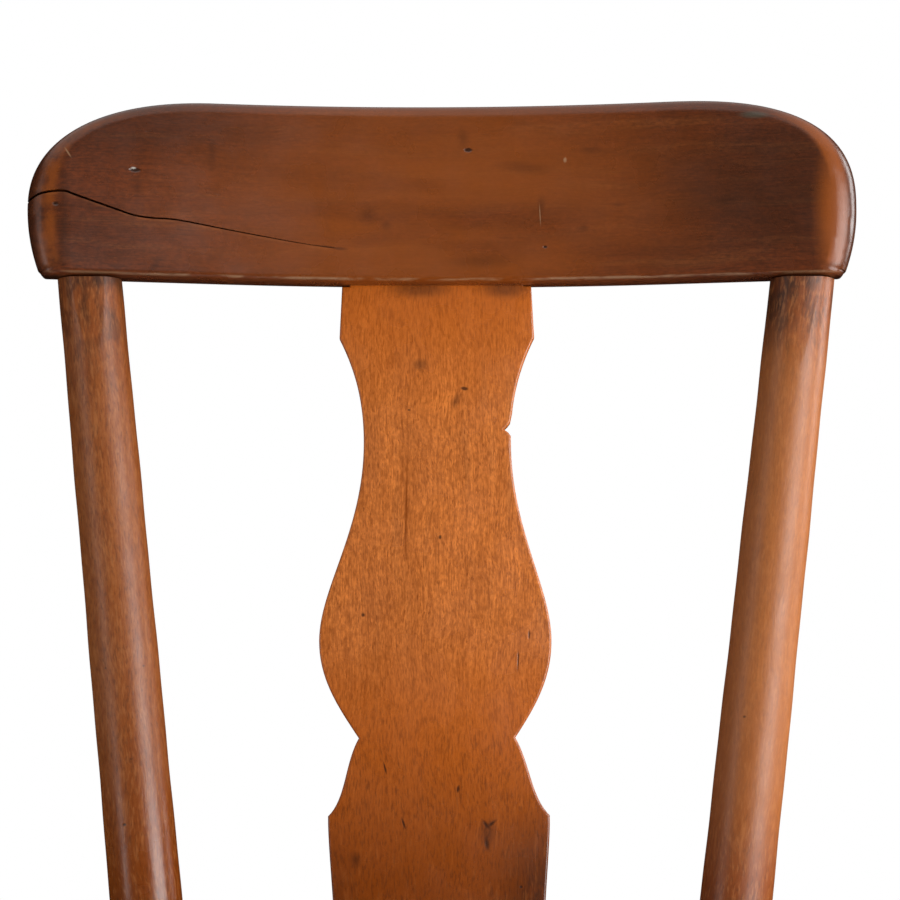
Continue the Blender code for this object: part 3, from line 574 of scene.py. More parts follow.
def add_piece(name, shape, place, material, nodes, wood=None, sharp=35.0):
    """Makes a finished piece of a bmesh in its own frame, put where place says, for the nodes it replaces.

    wood gives a point's place in the straight, unbent wood, where the piece was bent.
    """
    layer = shape.verts.layers.float_vector.new(WOOD)
    for vert in shape.verts:
        vert[layer] = (wood(vert.co) if wood else vert.co) * MM
    bmesh.ops.transform(shape, matrix=place, verts=shape.verts)
    obj = loose_object(shape, name)
    obj.data.shade_smooth()
    obj.data.set_sharp_from_angle(angle=math.radians(sharp))
    obj.data.materials.append(material)
    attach(obj, BODY)
    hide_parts(*nodes)


def back_place(settings):
    """The back frame's place: its origin on the seat's top, leaning back."""
    back = settings.back
    return Matrix.Translation((0, back.setback, back.level)) @ Matrix.Rotation(-back.lean, 4, "X")


def crest_bend(crest, x):
    """How far behind the back's frame the crest's middle plane is: bent in the middle, then straight."""
    reach = crest.bent_reach
    bent = min(abs(x), reach)
    straight = abs(x) - bent
    whole = reach**2 + 2 * reach * (crest.width / 2 - reach)
    return -crest.bend_depth * (bent**2 + 2 * reach * straight) / whole


def crest_outline(crest):
    """The crest's outline: undercut ends, full round shoulders and a straight top."""

    def half(side, height, fullness):
        middle, foot = crest.width / 2, crest.foot_width / 2
        centre = (foot - crest.foot_round, crest.foot_round)
        corner = polar(centre, crest.foot_round, 270, 360, CORNER_STEPS)
        flank = []
        for step in range(1, FLANK_STEPS + 1):
            share = step / FLANK_STEPS
            flank.append((middle - (middle - foot) * (1 - share) ** 2, crest.widest_level * share))
        top = []
        for step in range(1, SHOULDER_STEPS + 1):
            angle = math.pi / 2 * step / SHOULDER_STEPS
            out = crest.corner_reach * math.cos(angle) ** (2 / fullness)
            up = (height - crest.widest_level) * math.sin(angle) ** (2 / fullness)
            top.append((middle - crest.corner_reach + out, crest.widest_level + up))
        return [(side * x, z) for x, z in corner + flank + top]

    left = half(LEFT, crest.height, crest.left_fullness)
    right = half(RIGHT, crest.height + crest.right_rise, crest.right_fullness)
    return left + right[::-1]


def roll_edge(shape, facing, shift, steps):
    """Rolls a board's edge over towards one of its faces, ring by ring in quarter ellipses."""
    face = max(shape.faces, key=lambda each: each.normal.y * facing)
    rim = [vert.co.copy() for vert in face.verts]
    shifts = [shift(point.x, point.z) for point in rim]
    for vert, point, (_, _, depth) in zip(face.verts, rim, shifts):
        vert.co.y = point.y - facing * depth
    for step in range(1, steps + 1):
        angle = math.pi / 2 * step / steps
        face = bmesh.ops.extrude_discrete_faces(shape, faces=[face])["faces"][0]
        for vert, point, (across, up, depth) in zip(face.verts, rim, shifts):
            inward = 1 - math.cos(angle)
            vert.co.x = point.x + across * inward
            vert.co.z = point.z + up * inward
            vert.co.y = point.y - facing * depth * (1 - math.sin(angle))


def rounded(points, steps):
    """A rounded line through points, each handle a sixth of the line between its point's neighbours."""
    ends = [Vector(point) for point in (points[0], *points, points[-1])]
    line = []
    for before, start, end, after in zip(ends, ends[1:], ends[2:], ends[3:]):
        line += bezier(start, start + (end - before) / 6, end - (after - start) / 6, end, steps)
    return line + [points[-1]]


def split_blade(crest):
    """The blade that opens the split, wide and deep at the crest's end and fine at its tip, bent with it."""
    path = rounded(SPLIT_PATH, SPLIT_STEPS)
    start, tip = path[0][0], path[-1][0]
    front = -crest.thickness / 2

    def openness(x):
        return (tip - x) / (tip - start)

    def half_width(x):
        return (crest.split_tip_width + (crest.split_width - crest.split_tip_width) * openness(x)) / 2

    upper = [(x, z + half_width(x)) for x, z in path]
    lower = [(x, z - half_width(x)) for x, z in path]
    shape = board(upper + lower[::-1], crest.thickness)
    for vert in shape.verts:
        depth = crest.split_tip_depth + (crest.split_depth - crest.split_tip_depth) * openness(vert.co.x)
        vert.co.y = front + depth if vert.co.y > 0 else front - crest.thickness
        vert.co.y += crest_bend(crest, vert.co.x)
    return shape


def peg_hole(settings, side):
    """The hole that a crest peg sits in, in the crest's frame."""
    crest = settings.crest
    foot, top = post_ends(settings, side)
    axis = (top - foot).normalized()
    top = Vector((top.x, top.y, 0))
    centre = top + axis * crest.peg_level / axis.z
    step = 0.001
    slope = (crest_bend(crest, crest.bent_reach + step) - crest_bend(crest, crest.bent_reach)) / step
    outward = Vector((-slope * side, 1, 0)).normalized()
    back_face = crest_bend(crest, centre.x) + crest.thickness / 2
    head = centre + outward * (back_face - centre.y) / outward.y
    head.y = crest_bend(crest, head.x) + crest.thickness / 2
    point = head - outward * (crest.peg_length + FIT)
    return rod(crest.peg_radius + FIT, point, head + outward * crest.peg_length, PEG_SIDES)


def make_crest(settings):
    """The bent crest rail with its rolled edges, its split and its peg holes."""
    crest = settings.crest

    def nearness(x):
        return (2 * abs(x) / crest.width) ** END_SHARPNESS

    def front_roll(x, z):
        end = nearness(x)
        rise = z / crest.height
        across = -math.copysign(crest.end_roll_width * end, x)
        up = crest.lower_roll * (1 + end) * (1 - rise) - crest.top_roll_width * rise
        edge_depth = crest.lower_roll + (crest.top_roll_depth - crest.lower_roll) * rise
        return across, up, edge_depth + (crest.end_roll_depth - edge_depth) * end

    def back_roll(x, z):
        across = -math.copysign(crest.back_roll * nearness(x), x)
        return across, crest.back_roll * (1 - 2 * z / crest.height), crest.back_roll

    shape = board(crest_outline(crest), crest.thickness)
    roll_edge(shape, -1, front_roll, FRONT_ROLL_STEPS)
    roll_edge(shape, 1, back_roll, BACK_ROLL_STEPS)
    slice_up(shape, 0, -crest.width / 2, crest.width / 2, CREST_STRIP)
    for vert in shape.verts:
        vert.co.y += crest_bend(crest, vert.co.x)
    cuts = [split_blade(crest)] + [peg_hole(settings, side) for side, _ in SIDES]
    shape = combined(shape, cuts=cuts)
    place = back_place(settings) @ Matrix.Translation((0, 0, settings.back.height))

    def unbent(point):
        return Vector((point.x, point.y - crest_bend(crest, point.x), point.z))

    add_piece("bent_crest", shape, place, crest_shellac(settings), ["crest_rail"], unbent)


def splat_side(side):
    """One edge of the splat, as (half-width, distance below the crest) points from top to foot."""
    shoulder, neck, lower = VASE["shoulder"], VASE["neck"], VASE["lower shoulder"]
    bulb = (VASE["bulb"][0] + side * BULB_DRIFT, VASE["bulb"][1])
    waist = (VASE["waist"][0] + side * WAIST_DRIFT, VASE["waist"][1])
    foot = VASE["foot"]
    # Each run's start, its two handles as offsets from its ends, its end and its steps
    runs = (
        (shoulder, (-0.0085, 0.0170), (0.0, -0.0205), neck, 20),
        (neck, (0.0, 0.0465), (0.0, -0.0280), bulb, 30),
        (bulb, (0.0, 0.0200), (0.0106, -0.0160), waist, 20),
        (waist, (0.0075, 0.0130), (-0.0095, -0.0090), lower, 16),
        (lower, (0.0002, 0.0130), (0.0014, -0.0299), foot, 10),
    )
    points = [VASE["top"]]
    for start, leave, arrive, end, steps in runs:
        start_handle = (start[0] + leave[0], start[1] + leave[1])
        end_handle = (end[0] + arrive[0], end[1] + arrive[1])
        points += bezier(start, start_handle, end_handle, end, steps)
    return points + [foot]


def chipped(points):
    """The splat's right edge with the chip at its neck: a splintered notch, steep above, slanting below."""
    edge = VASE["neck"][0] + CHIP_FLARE
    notch = [
        (edge - 0.30 * CHIP_DEPTH, CHIP_LEVEL - 0.36 * CHIP_HEIGHT),
        (edge - 0.72 * CHIP_DEPTH, CHIP_LEVEL - 0.16 * CHIP_HEIGHT),
        (edge - CHIP_FLARE - CHIP_DEPTH, CHIP_LEVEL),
        (edge - 0.62 * CHIP_DEPTH, CHIP_LEVEL + 0.15 * CHIP_HEIGHT),
        (edge - 0.22 * CHIP_DEPTH, CHIP_LEVEL + 0.34 * CHIP_HEIGHT),
    ]
    before = [point for point in points if point[1] < CHIP_LEVEL - 0.60 * CHIP_HEIGHT]
    after = [point for point in points if point[1] > CHIP_LEVEL + 0.46 * CHIP_HEIGHT]
    return before + notch + after


def splat_place(settings):
    """The splat's place: hung from the crest's lower edge, and turned a little to meet its foot."""
    splat, back = settings.splat, settings.back
    turn = math.atan2(splat.top_offset - splat.foot_offset, back.height)
    hung = Matrix.Translation((splat.top_offset, splat.setback, back.height))
    return back_place(settings) @ hung @ Matrix.Rotation(turn, 4, "Y")


def make_splat(settings):
    """The vase-shaped splat with its worn arrises and the chip in its right edge."""
    splat, back = settings.splat, settings.back
    tongue = VASE["top"][0] - splat.tenon_shoulder
    head = [(tongue, -splat.tenon_length), (tongue, FIT), (VASE["top"][0], FIT)]
    foot = (VASE["foot"][0], back.height + splat.foot_length)
    right = head + chipped(splat_side(RIGHT))[1:] + [foot]
    left = head + splat_side(LEFT)[1:] + [foot]
    outline = [(x, -down) for x, down in right] + [(-x, -down) for x, down in left[::-1]]
    shape = board(outline, splat.thickness)
    arrises = [edge for edge in shape.edges if edge.verts[0].co.y * edge.verts[1].co.y > 0]
    round_edges(shape, arrises, splat.edge_round, ARRIS_SEGMENTS)
    place = splat_place(settings)
    add_piece("vase_splat", shape, place, splat_shellac(settings), ["splat"], sharp=40.0)


def post_ends(settings, side):
    """The points of a post's axis on the seat and at the crest's lower edge, in the back's frame."""
    post = settings.post
    overhang = post.left_overhang if side == LEFT else post.right_overhang
    margin = post.left_margin if side == LEFT else post.right_margin
    top_x = side * (settings.crest.width / 2 - overhang)
    foot_x = side * (settings.seat.back_width / 2 - margin)
    y = crest_bend(settings.crest, top_x) + post.setback
    return Vector((foot_x, y, 0)), Vector((top_x, y, settings.back.height))


def make_post(settings, side, word):
    """A tapering post, turned by hand, with a tenon at each end and a shaved flat at its top front."""
    post, back = settings.post, settings.back
    foot, top = post_ends(settings, side)
    length = (top - foot).length
    turn = (top - foot).to_track_quat("Z", "Y").to_matrix()
    spare = 2 * post.foot_radius
    profile = [(0, length + spare)]
    for step in range(POST_RINGS, -1, -1):
        height = -spare + (length + 2 * spare) * step / POST_RINGS
        radius = post.foot_radius + (post.top_radius - post.foot_radius) * height / length
        stray = math.sin(height * SLOW_WAVER + side) + FAST_SHARE * math.sin(height * FAST_WAVER + 2 * side)
        profile.append((radius + post.waver * stray / (1 + FAST_SHARE), height))
    profile.append((0, -spare))
    shape = lathe(profile, POST_SIDES)

    into_post = turn.inverted()
    up = into_post @ Vector((0, 0, 1))
    seat_up = into_post @ Matrix.Rotation(back.lean, 3, "X") @ Vector((0, 0, 1))
    seat_point = into_post @ (-foot) + seat_up * FIT
    forward = into_post @ Vector((0, -1, 0))
    axis_rise = (top - foot).normalized().z
    trim(shape, up * (length * axis_rise - FIT), up)
    trim(shape, seat_point, -seat_up)
    flat_edge = Vector((0, 0, length)) + forward * (post.top_radius - post.flat_depth)
    trim(shape, flat_edge, forward + Vector((0, 0, post.flat_depth / post.flat_length)))

    inside = Vector((0, 0, post.foot_radius))
    tenon_top = Vector((0, 0, length + post.tenon_length))
    tenon = rod(post.tenon_radius, Vector((0, 0, length)) - inside, tenon_top, TENON_SIDES)
    through = Vector((0, 0, -2 * settings.seat.thickness))
    foot_tenon = rod(post.foot_tenon_radius, through, inside, HOLE_SIDES)
    under = seat_point - seat_up * (settings.seat.thickness + FIT)
    trim(foot_tenon, under, -seat_up)
    shape = combined(shape, cuts=[wedge_slab(settings, under.z, -1)], joins=[tenon, foot_tenon])
    place = back_place(settings) @ Matrix.Translation(foot) @ turn.to_4x4()
    material = post_shellac(settings, side, word)
    add_piece(f"turned_post_{word}", shape, place, material, [f"post_{word}"])


def wedge_slab(settings, head, way):
    """A wedge's kerf in a tenon along Z: thick at its head, thin where it points, up (-1) or down (1)."""
    leg = settings.leg
    shape = bmesh.new()
    bmesh.ops.create_cube(shape, size=1)
    for vert in shape.verts:
        at_point = vert.co.z > 0
        vert.co.x *= (leg.wedge_point if at_point else leg.wedge_head) + 2 * FIT
        vert.co.y *= 4 * settings.post.foot_tenon_radius
        vert.co.z = head - way * (leg.wedge_length + FIT if at_point else -leg.wedge_head)
    bmesh.ops.recalc_face_normals(shape, faces=shape.faces)
    return shape


def seat_outline(seat):
    """The plank's outline from above, with rounded corners and a bowed front."""
    front, back = seat.front_width / 2, seat.back_width / 2
    edge = front - seat.front_corner
    shares = [step / BOW_STEPS for step in range(1 - BOW_STEPS, BOW_STEPS)]
    bow = [(edge * share, seat.front - seat.bow * (1 - share**2)) for share in shares]
    right = polar((edge, seat.front + seat.front_corner), seat.front_corner, -90, 0, SEAT_CORNER_STEPS)
    centre = (back - seat.back_corner, seat.back - seat.back_corner)
    right += polar(centre, seat.back_corner, 0, 90, SEAT_CORNER_STEPS)
    left = [(-x, y) for x, y in reversed(right)]
    return bow + right + left


def leg_ends(settings, side, front):
    """A leg's axis: its point on the floor and its point at the seat's top."""
    leg, seat = settings.leg, settings.seat
    half_width = (seat.front_width if front else seat.back_width) / 2
    top_x = half_width - leg.side_inset
    top_y = seat.front + leg.front_inset if front else seat.back - leg.back_inset
    foot_x = top_x + (leg.front_splay if front else leg.back_splay)
    foot_y = top_y - leg.front_rake if front else top_y + leg.back_rake
    return Vector((side * foot_x, foot_y, 0)), Vector((side * top_x, top_y, settings.back.level))


def make_seat(settings):
    """The plank seat, rounded at its edges and dished on top, with the holes that tenons come through."""
    seat, back, splat = settings.seat, settings.back, settings.splat
    leg_hole, post_hole = settings.leg.tenon_radius + FIT, settings.post.foot_tenon_radius + FIT
    shape = board(seat_outline(seat), seat.thickness)
    bmesh.ops.rotate(shape, matrix=Matrix.Rotation(-math.pi / 2, 3, "X"), verts=shape.verts)
    bmesh.ops.translate(shape, vec=(0, 0, back.level - seat.thickness / 2), verts=shape.verts)
    rims = [edge for edge in shape.edges if abs(edge.verts[0].co.z - edge.verts[1].co.z) < FIT]
    round_edges(shape, rims, seat.edge_round, EDGE_SEGMENTS)
    slice_up(shape, 0, -seat.front_width / 2, seat.front_width / 2, SEAT_STRIP)
    slice_up(shape, 1, seat.front - seat.bow, seat.back, SEAT_STRIP)
    front, rear = seat.front + seat.dish_front, seat.back - seat.dish_back
    half_width = (seat.front_width + seat.back_width) / 4 - seat.dish_side
    for vert in shape.verts:
        if vert.co.z > back.level - FIT:
            across = vert.co.x / half_width
            along = (vert.co.y - (front + rear) / 2) / ((rear - front) / 2)
            inside = max(0.0, 1 - across**2 - along**2)
            vert.co.z -= seat.dish_depth * inside**DISH_SHARPNESS
    holes = []
    for side, _ in SIDES:
        for is_front in (True, False):
            foot, top = leg_ends(settings, side, is_front)
            start, end = foot.lerp(top, HOLE_START), foot.lerp(top, HOLE_END)
            holes.append(rod(leg_hole, start, end, HOLE_SIDES))
        foot, top = (back_place(settings) @ end for end in post_ends(settings, side))
        axis = (top - foot).normalized()
        start, end = foot - axis * 2 * seat.thickness, foot + axis * HOLE_ABOVE
        holes.append(rod(post_hole, start, end, HOLE_SIDES))
    wide, deep = VASE["foot"][0] + 2 * FIT, splat.thickness / 2 + FIT
    low = -(back.height + splat.foot_length + FIT)
    housing = box((-wide, -deep, low), (wide, deep, low + 3 * splat.foot_length))
    bmesh.ops.transform(housing, matrix=splat_place(settings), verts=housing.verts)
    shape = combined(shape, cuts=[*holes, housing])
    material = seat_shellac(settings)
    add_piece("plank_seat", shape, Matrix.Identity(4), material, ["seat"], sharp=30.0)


def make_leg(settings, side, front, name, material):
    """A turned leg, cut level at the floor, its tenon flush with the seat's top and kerfed for its wedge."""
    leg, seat, back = settings.leg, settings.seat, settings.back
    foot, top = leg_ends(settings, side, front)
    length = (top - foot).length
    tenon_start = length * (1 - seat.thickness / back.level)
    profile = [(0, length + leg.wedge_length), (leg.tenon_radius, length + leg.wedge_length)]
    profile += swelling(leg.foot_radius, leg.tenon_radius, leg.bulge_radius, tenon_start)
    profile += [(leg.foot_radius, -leg.foot_radius), (0, -leg.foot_radius)]
    shape = lathe(profile, LEG_SIDES)
    turn = (top - foot).to_track_quat("Z", "Y").to_matrix()
    up = turn.inverted() @ Vector((0, 0, 1))
    trim(shape, (0, 0, 0), -up)
    trim(shape, (0, 0, length), up)
    shape = combined(shape, cuts=[wedge_slab(settings, length, 1)])
    place = Matrix.Translation(foot) @ turn.to_4x4()
    add_piece(f"turned_{name}", shape, place, material, [name])


def make_stretcher(settings, name, level, one, other, material):
    """A turned stretcher between two legs at a level."""
    leg = settings.leg
    points = [foot.lerp(top, level / settings.back.level) for foot, top in (one, other)]
    inward = (points[1] - points[0]).normalized() * leg.stretcher_stop
    start, end = points[0] + inward, points[1] - inward
    length = (end - start).length
    swell = swelling(leg.stretcher_end, leg.stretcher_end, leg.stretcher_bulge, length)
    shape = lathe([(0, length), *swell, (0, 0)], STRETCHER_SIDES)
    place = Matrix.Translation(start) @ (end - start).to_track_quat("Z", "Y").to_matrix().to_4x4()
    add_piece(f"turned_{name}", shape, place, material, [name])


class Nodes:
    """The node tree of a material or a world."""

    def __init__(self, owner):
        owner.use_nodes = True
        self.tree = owner.node_tree

    def join(self, node, inputs):
        """Links or sets some of a node's inputs."""
        for key, value in inputs.items():
            if isinstance(value, bpy.types.NodeSocket):
                self.tree.links.new(value, node.inputs[key])
            else:
                node.inputs[key].default_value = value
        return node

    def add(self, kind, inputs=None, **settings):
        """Adds a node with its settings and its links."""
        node = self.tree.nodes.new(f"ShaderNode{kind}")
        for key, value in settings.items():
            setattr(node, key, value)
        return self.join(node, inputs or {})


class Finish(Nodes):
    """A wood finish in the making: the wood's place in millimetres, and its colour and bump so far."""

    def __init__(self, name, base):
        self.material = bpy.data.materials.new(name)
        super().__init__(self.material)
        self.flat = None
        self.place = None
        self.colour = (*base, 1.0)
        self.height = None

    def wood_place(self, along):
        """Reads the wood's place, turns its grain to Z and bends its lines a little, as grain wanders."""
        self.flat = self.add("Attribute", attribute_name=WOOD).outputs["Vector"]
        turn = (0, -math.pi / 2, 0) if along == "X" else (0, 0, 0)
        place = self.add("Mapping", {"Vector": self.flat, "Rotation": turn}).outputs[0]
        drift = self.add("TexNoise", {"Vector": place, "Scale": 1 / WANDER_LENGTH, "Detail": 1.0})
        level = {0: drift.outputs["Color"], 1: (0.5, 0.5, 0.5)}
        centred = self.add("VectorMath", level, operation="SUBTRACT").outputs[0]
        reach = {0: centred, 1: (WANDER, WANDER, 0.0)}
        moved = self.add("VectorMath", reach, operation="MULTIPLY").outputs[0]
        self.place = self.add("VectorMath", {0: place, 1: moved}, operation="ADD").outputs[0]

    def streaks(self, across, along, low, high, detail=2.0):
        """A noise of cells of a width and length in millimetres, from 0 below low to 1 above high."""
        scale = (1 / across, 1 / across, 1 / along)
        place = self.add("Mapping", {"Vector": self.place, "Scale": scale}).outputs[0]
        noise = self.add("TexNoise", {"Vector": place, "Scale": 1.0, "Detail": detail, "Roughness": 0.55})
        span = {"Value": noise.outputs[0], "From Min": low, "From Max": high}
        return self.add("MapRange", span, interpolation_type="SMOOTHSTEP").outputs[0]

    def along(self, axis, start, end):
        """A slope from 0 to 1 between two places along one of the piece's own axes, in millimetres."""
        parts = self.add("SeparateXYZ", {0: self.flat})
        span = {"Value": parts.outputs[axis], "From Min": start, "From Max": end}
        return self.add("MapRange", span, interpolation_type="SMOOTHSTEP").outputs[0]

    def spot(self, centre, radii, turn=0.0, core=0.0):
        """A soft ellipsoid in the piece's own millimetres, turned round Y: 1 in its core, 0 at its rim."""
        spin = (0, math.radians(turn), 0)
        where = {"Vector": self.flat, "Location": centre, "Rotation": spin, "Scale": radii}
        mapped = self.add("Mapping", where, vector_type="TEXTURE").outputs[0]
        away = self.add("VectorMath", {0: mapped}, operation="LENGTH").outputs["Value"]
        span = {"Value": away, "From Min": 1.0, "From Max": core}
        return self.add("MapRange", span, interpolation_type="SMOOTHSTEP").outputs[0]

    def marks(self, face, depth, rows):
        """Small spots on an upright face, equally deep, from rows such as CREST_SMUDGES."""
        spots = []
        for across, up, half_width, half_height, *rest in rows:
            spots.append(self.spot((across, face, up), (half_width, depth, half_height), *rest))
        return self.either(*spots)

    def either(self, *factors):
        """The largest of several factors."""
        largest = factors[0]
        for factor in factors[1:]:
            largest = self.add("Math", {0: largest, 1: factor}, operation="MAXIMUM").outputs[0]
        return largest

    def both(self, *factors):
        """The product of several factors, which is high only where all of them are."""
        product = factors[0]
        for factor in factors[1:]:
            product = self.add("Math", {0: product, 1: factor}, operation="MULTIPLY").outputs[0]
        return product

    def stain(self, colour, factor, strength=1.0):
        """Lays a colour over the wood where the factor says."""
        inputs = {0: self.both(factor, strength), 6: self.colour, 7: (*colour, 1.0)}
        self.colour = self.add("Mix", inputs, data_type="RGBA").outputs[2]

    def raise_by(self, factor, height):
        """Adds a factor, times a height in millimetres, to the bump."""
        part = self.both(factor, height)
        if self.height is not None:
            part = self.add("Math", {0: self.height, 1: part}, operation="ADD").outputs[0]
        self.height = part

    def done(self, roughness, spread, gloss=0.5, polished=None):
        """Joins everything to the shader: roughness varies in cloudy patches, and is less where polished."""
        clouds = self.add("TexNoise", {"Vector": self.place, "Scale": 1 / CLOUD_LENGTH, "Detail": 3.0})
        span = {"Value": clouds.outputs[0], "From Min": 0.3, "From Max": 0.7}
        span |= {"To Min": roughness - spread, "To Max": roughness + spread}
        rough = self.add("MapRange", span).outputs[0]
        if polished is not None:
            less = {0: rough, 1: self.both(polished, POLISH)}
            rough = self.add("Math", less, operation="SUBTRACT").outputs[0]
        bump = self.add("Bump", {"Height": self.height, "Strength": 1.0, "Distance": 1 / MM})
        surface = {
            "Base Color": self.colour,
            "Roughness": rough,
            "IOR": SHELLAC_IOR,
            "Specular IOR Level": gloss,
            "Normal": bump.outputs[0],
        }
        self.join(self.tree.nodes["Principled BSDF"], surface)
        return self.material


def beech(name, base, along, settings, fleck=0.5, pale=0.30, dark=None, waver=0.10):
    """Fine-grained beech under shellac: faint figure, fibre lines, and the short dark flecks of its rays.

    The figure's bands are 5 mm wide, the fibres 0.7 mm, drawn coarser than real ones to show in the render,
    and the flecks 0.5 mm by 3 mm.
    """
    colours = settings.colours
    dark = dark or colours.streak
    finish = Finish(name, base)
    finish.wood_place(along)
    blotches = finish.streaks(22.0, 60.0, 0.35, 0.68)
    finish.stain(dark, blotches, 0.20)
    figure = finish.streaks(5.0, 90.0, 0.36, 0.66, 3.0)
    finish.stain(dark, figure, 0.20)
    light = finish.streaks(6.0, 110.0, 0.50, 0.74)
    finish.stain(colours.worn, light, pale)
    mottle = finish.streaks(1.3, 2.6, 0.30, 0.70, 3.0)
    finish.stain(dark, mottle, 0.42)
    fibres = finish.streaks(0.7, 16.0, 0.40, 0.70)
    finish.stain(dark, fibres, 0.38)
    flecks = finish.streaks(0.55, 3.2, 0.61, 0.70, 1.0)
    finish.stain(dark, flecks, fleck)
    finish.raise_by(fibres, -0.010)
    finish.raise_by(flecks, -0.008)
    finish.raise_by(finish.streaks(16.0, 50.0, 0.3, 0.7), waver)
    return finish


def crest_shellac(settings):
    """Beech under thick red-brown shellac: painted shade at the right, amber in the middle, its rolled ends
    rubbed.
    """
    colours, crest = settings.colours, settings.crest
    grime_and_shade, amber = colours.grime_and_shade, colours.crest_amber
    finish = beech("beech_red_brown_shellac", colours.crest, "X", settings, 0.26, 0.12, grime_and_shade)
    front = -crest.thickness / 2 * MM

    thin = finish.spot((0, front, 36), (195, 40, 120), core=0.15)
    finish.stain(amber, finish.both(thin, finish.streaks(26.0, 150.0, 0.10, 0.60)), 0.70)
    # Painted shade: the right end, whose bent front turns away from the key light, is darkened, and the upper
    # left a little.
    upper_left = finish.spot((-150, front, 80), (85, 14, 26))
    shaded_right = finish.spot((172, front, 48), (86, 16, 62), core=0.15)
    finish.stain(grime_and_shade, finish.either(shaded_right, finish.both(upper_left, 0.8)), 0.50)

    left_tip, right_tip = finish.along(0, -150, -196), finish.along(0, 160, 198)
    near_front = finish.along(1, front + 8.0, front + 2.5)
    rolled = finish.both(finish.along(1, front + 0.05, front + 0.9), near_front, finish.along(2, 2.5, 8.0))
    patches = finish.streaks(9.0, 12.0, 0.30, 0.62, 3.0)
    finish.stain(amber, finish.both(rolled, left_tip, patches), 0.62)
    # The right end's roll is rubbed amber, and a painted highlight brightens its outer edge.
    right_highlight = finish.spot((203, front, 32), (14, 12, 50), core=0.2)
    right = finish.either(finish.both(rolled, right_tip), right_highlight)
    finish.stain(amber, finish.both(right, near_front), 0.80)
    # Painted shade: a dark line in the crease where the left panel turns into its roll.
    crease_shade = finish.spot((-195, front, 30), (4, 3, 46), core=0.1)
    finish.stain(grime_and_shade, finish.both(crease_shade, finish.along(1, front + 0.9, front + 0.3)), 0.35)
    # Painted shade on the outer part of each rolled end, where it turns away from the light.
    outer = finish.both(finish.along(1, front + 3.5, front + 10.0), finish.either(left_tip, right_tip))
    finish.stain(grime_and_shade, outer, 0.50)
    # The lower arris is scuffed pale, partly as a painted highlight; below it, painted shade darkens it where
    # it turns under.
    lip = finish.spot((0, front, 2.0), (420, 9, 1.1), core=0.1)
    finish.stain(colours.scuffed_and_lit, finish.both(lip, finish.streaks(5.0, 16.0, 0.34, 0.56)), 0.60)
    finish.stain(grime_and_shade, finish.spot((0, front + 0.6, -0.2), (420, 4, 1.3), core=0.3), 0.6)

    finish.stain(grime_and_shade, finish.marks(front, 8, CREST_SMUDGES), 0.30)
    end_dent = finish.spot((-199.3, front + 2, 37.0), (2.2, 5, 1.5), core=0.4)
    dents = finish.either(finish.marks(front, 3, CREST_DENTS), end_dent)
    finish.stain(grime_and_shade, dents, 0.92)
    finish.raise_by(dents, -0.35)
    end_scratch = finish.spot((-193.4, front + 0.5, 64.0), (0.6, 4, 4.2), -33, core=0.3)
    finish.stain(colours.scuffed_and_lit, finish.either(finish.marks(front, 3, CREST_SCRATCHES), end_scratch), 0.5)
    finish.stain(colours.weathered, finish.spot((162, front + 2.5, 84.8), (10.5, 9, 2.7), 3, core=0.3), 0.75)
    # A painted glint in the dent on the crest's left.
    finish.stain(colours.nail_glint, finish.spot((-160.0, front, 56.9), (1.7, 3, 0.8), core=0.3), 0.8)

    # Painted highlights along the lower lip of the split, where it catches the light.
    lip_highlights = []
    for (x0, z0), (x1, z1) in zip(SPLIT_PATH, SPLIT_PATH[1:]):
        x, z = (x0 + x1) / 2 * MM, (z0 + z1) / 2 * MM
        reach = math.hypot(x1 - x0, z1 - z0) / 2 * MM + LIP_OVERLAP
        turn = -math.degrees(math.atan2(z1 - z0, x1 - x0))
        lip_highlights.append(finish.spot((x, front, z - LIP_DROP), (reach, 9, LIP_WIDTH), turn, core=0.3))
    finish.stain(colours.worn, finish.either(*lip_highlights), 0.10)
    finish.stain(grime_and_shade, finish.marks(front, 3, SPLIT_TAIL), 0.5)
    return finish.done(0.29, 0.05)


def splat_shellac(settings):
    """Beech under thin orange shellac, with painted shade darkening it towards the seat, and pin knots and
    dents.
    """
    colours = settings.colours
    grime_and_shade, rich, foot = colours.grime_and_shade, colours.splat_rich, colours.dark_tone_and_shade
    finish = beech("beech_orange_shellac", colours.splat, "Z", settings, 0.62)
    front = -settings.splat.thickness / 2 * MM
    finish.stain(rich, finish.along(2, -85, 0), 0.75)
    # Painted shade: from below the bulb the splat darkens towards the seat, most at its lower corners.
    finish.stain(rich, finish.along(2, -170, -245), 0.80)
    finish.stain(foot, finish.along(2, -215, -325), 0.85)
    finish.stain(grime_and_shade, finish.spot((58, front, -322), (46, 14, 66)), 0.75)
    finish.stain(grime_and_shade, finish.spot((-58, front, -330), (22, 14, 60)), 0.35)
    finish.stain(foot, finish.streaks(0.9, 5.5, 0.48, 0.64), 0.36)
    low = finish.along(2, -170, -260)
    finish.stain(grime_and_shade, finish.both(finish.streaks(0.8, 5.0, 0.50, 0.66), low), 0.32)
    finish.stain(colours.splat, finish.both(finish.streaks(1.6, 12.0, 0.52, 0.74), low), 0.10)
    finish.stain(grime_and_shade, finish.marks(front, 8, SPLAT_SHADOWS), 0.55)
    dents = finish.marks(front, 3, SPLAT_DENTS)
    finish.stain(grime_and_shade, dents, 0.8)
    finish.raise_by(dents, -0.06)
    finish.stain(foot, finish.marks(front, 3, SPLAT_CRACK), 0.75)
    finish.stain(grime_and_shade, finish.marks(front, 5, SPLAT_SMUDGES), 0.50)
    finish.stain(grime_and_shade, finish.along(1, front + 1.0, front + 2.2), 0.35)
    return finish.done(0.27, 0.05)


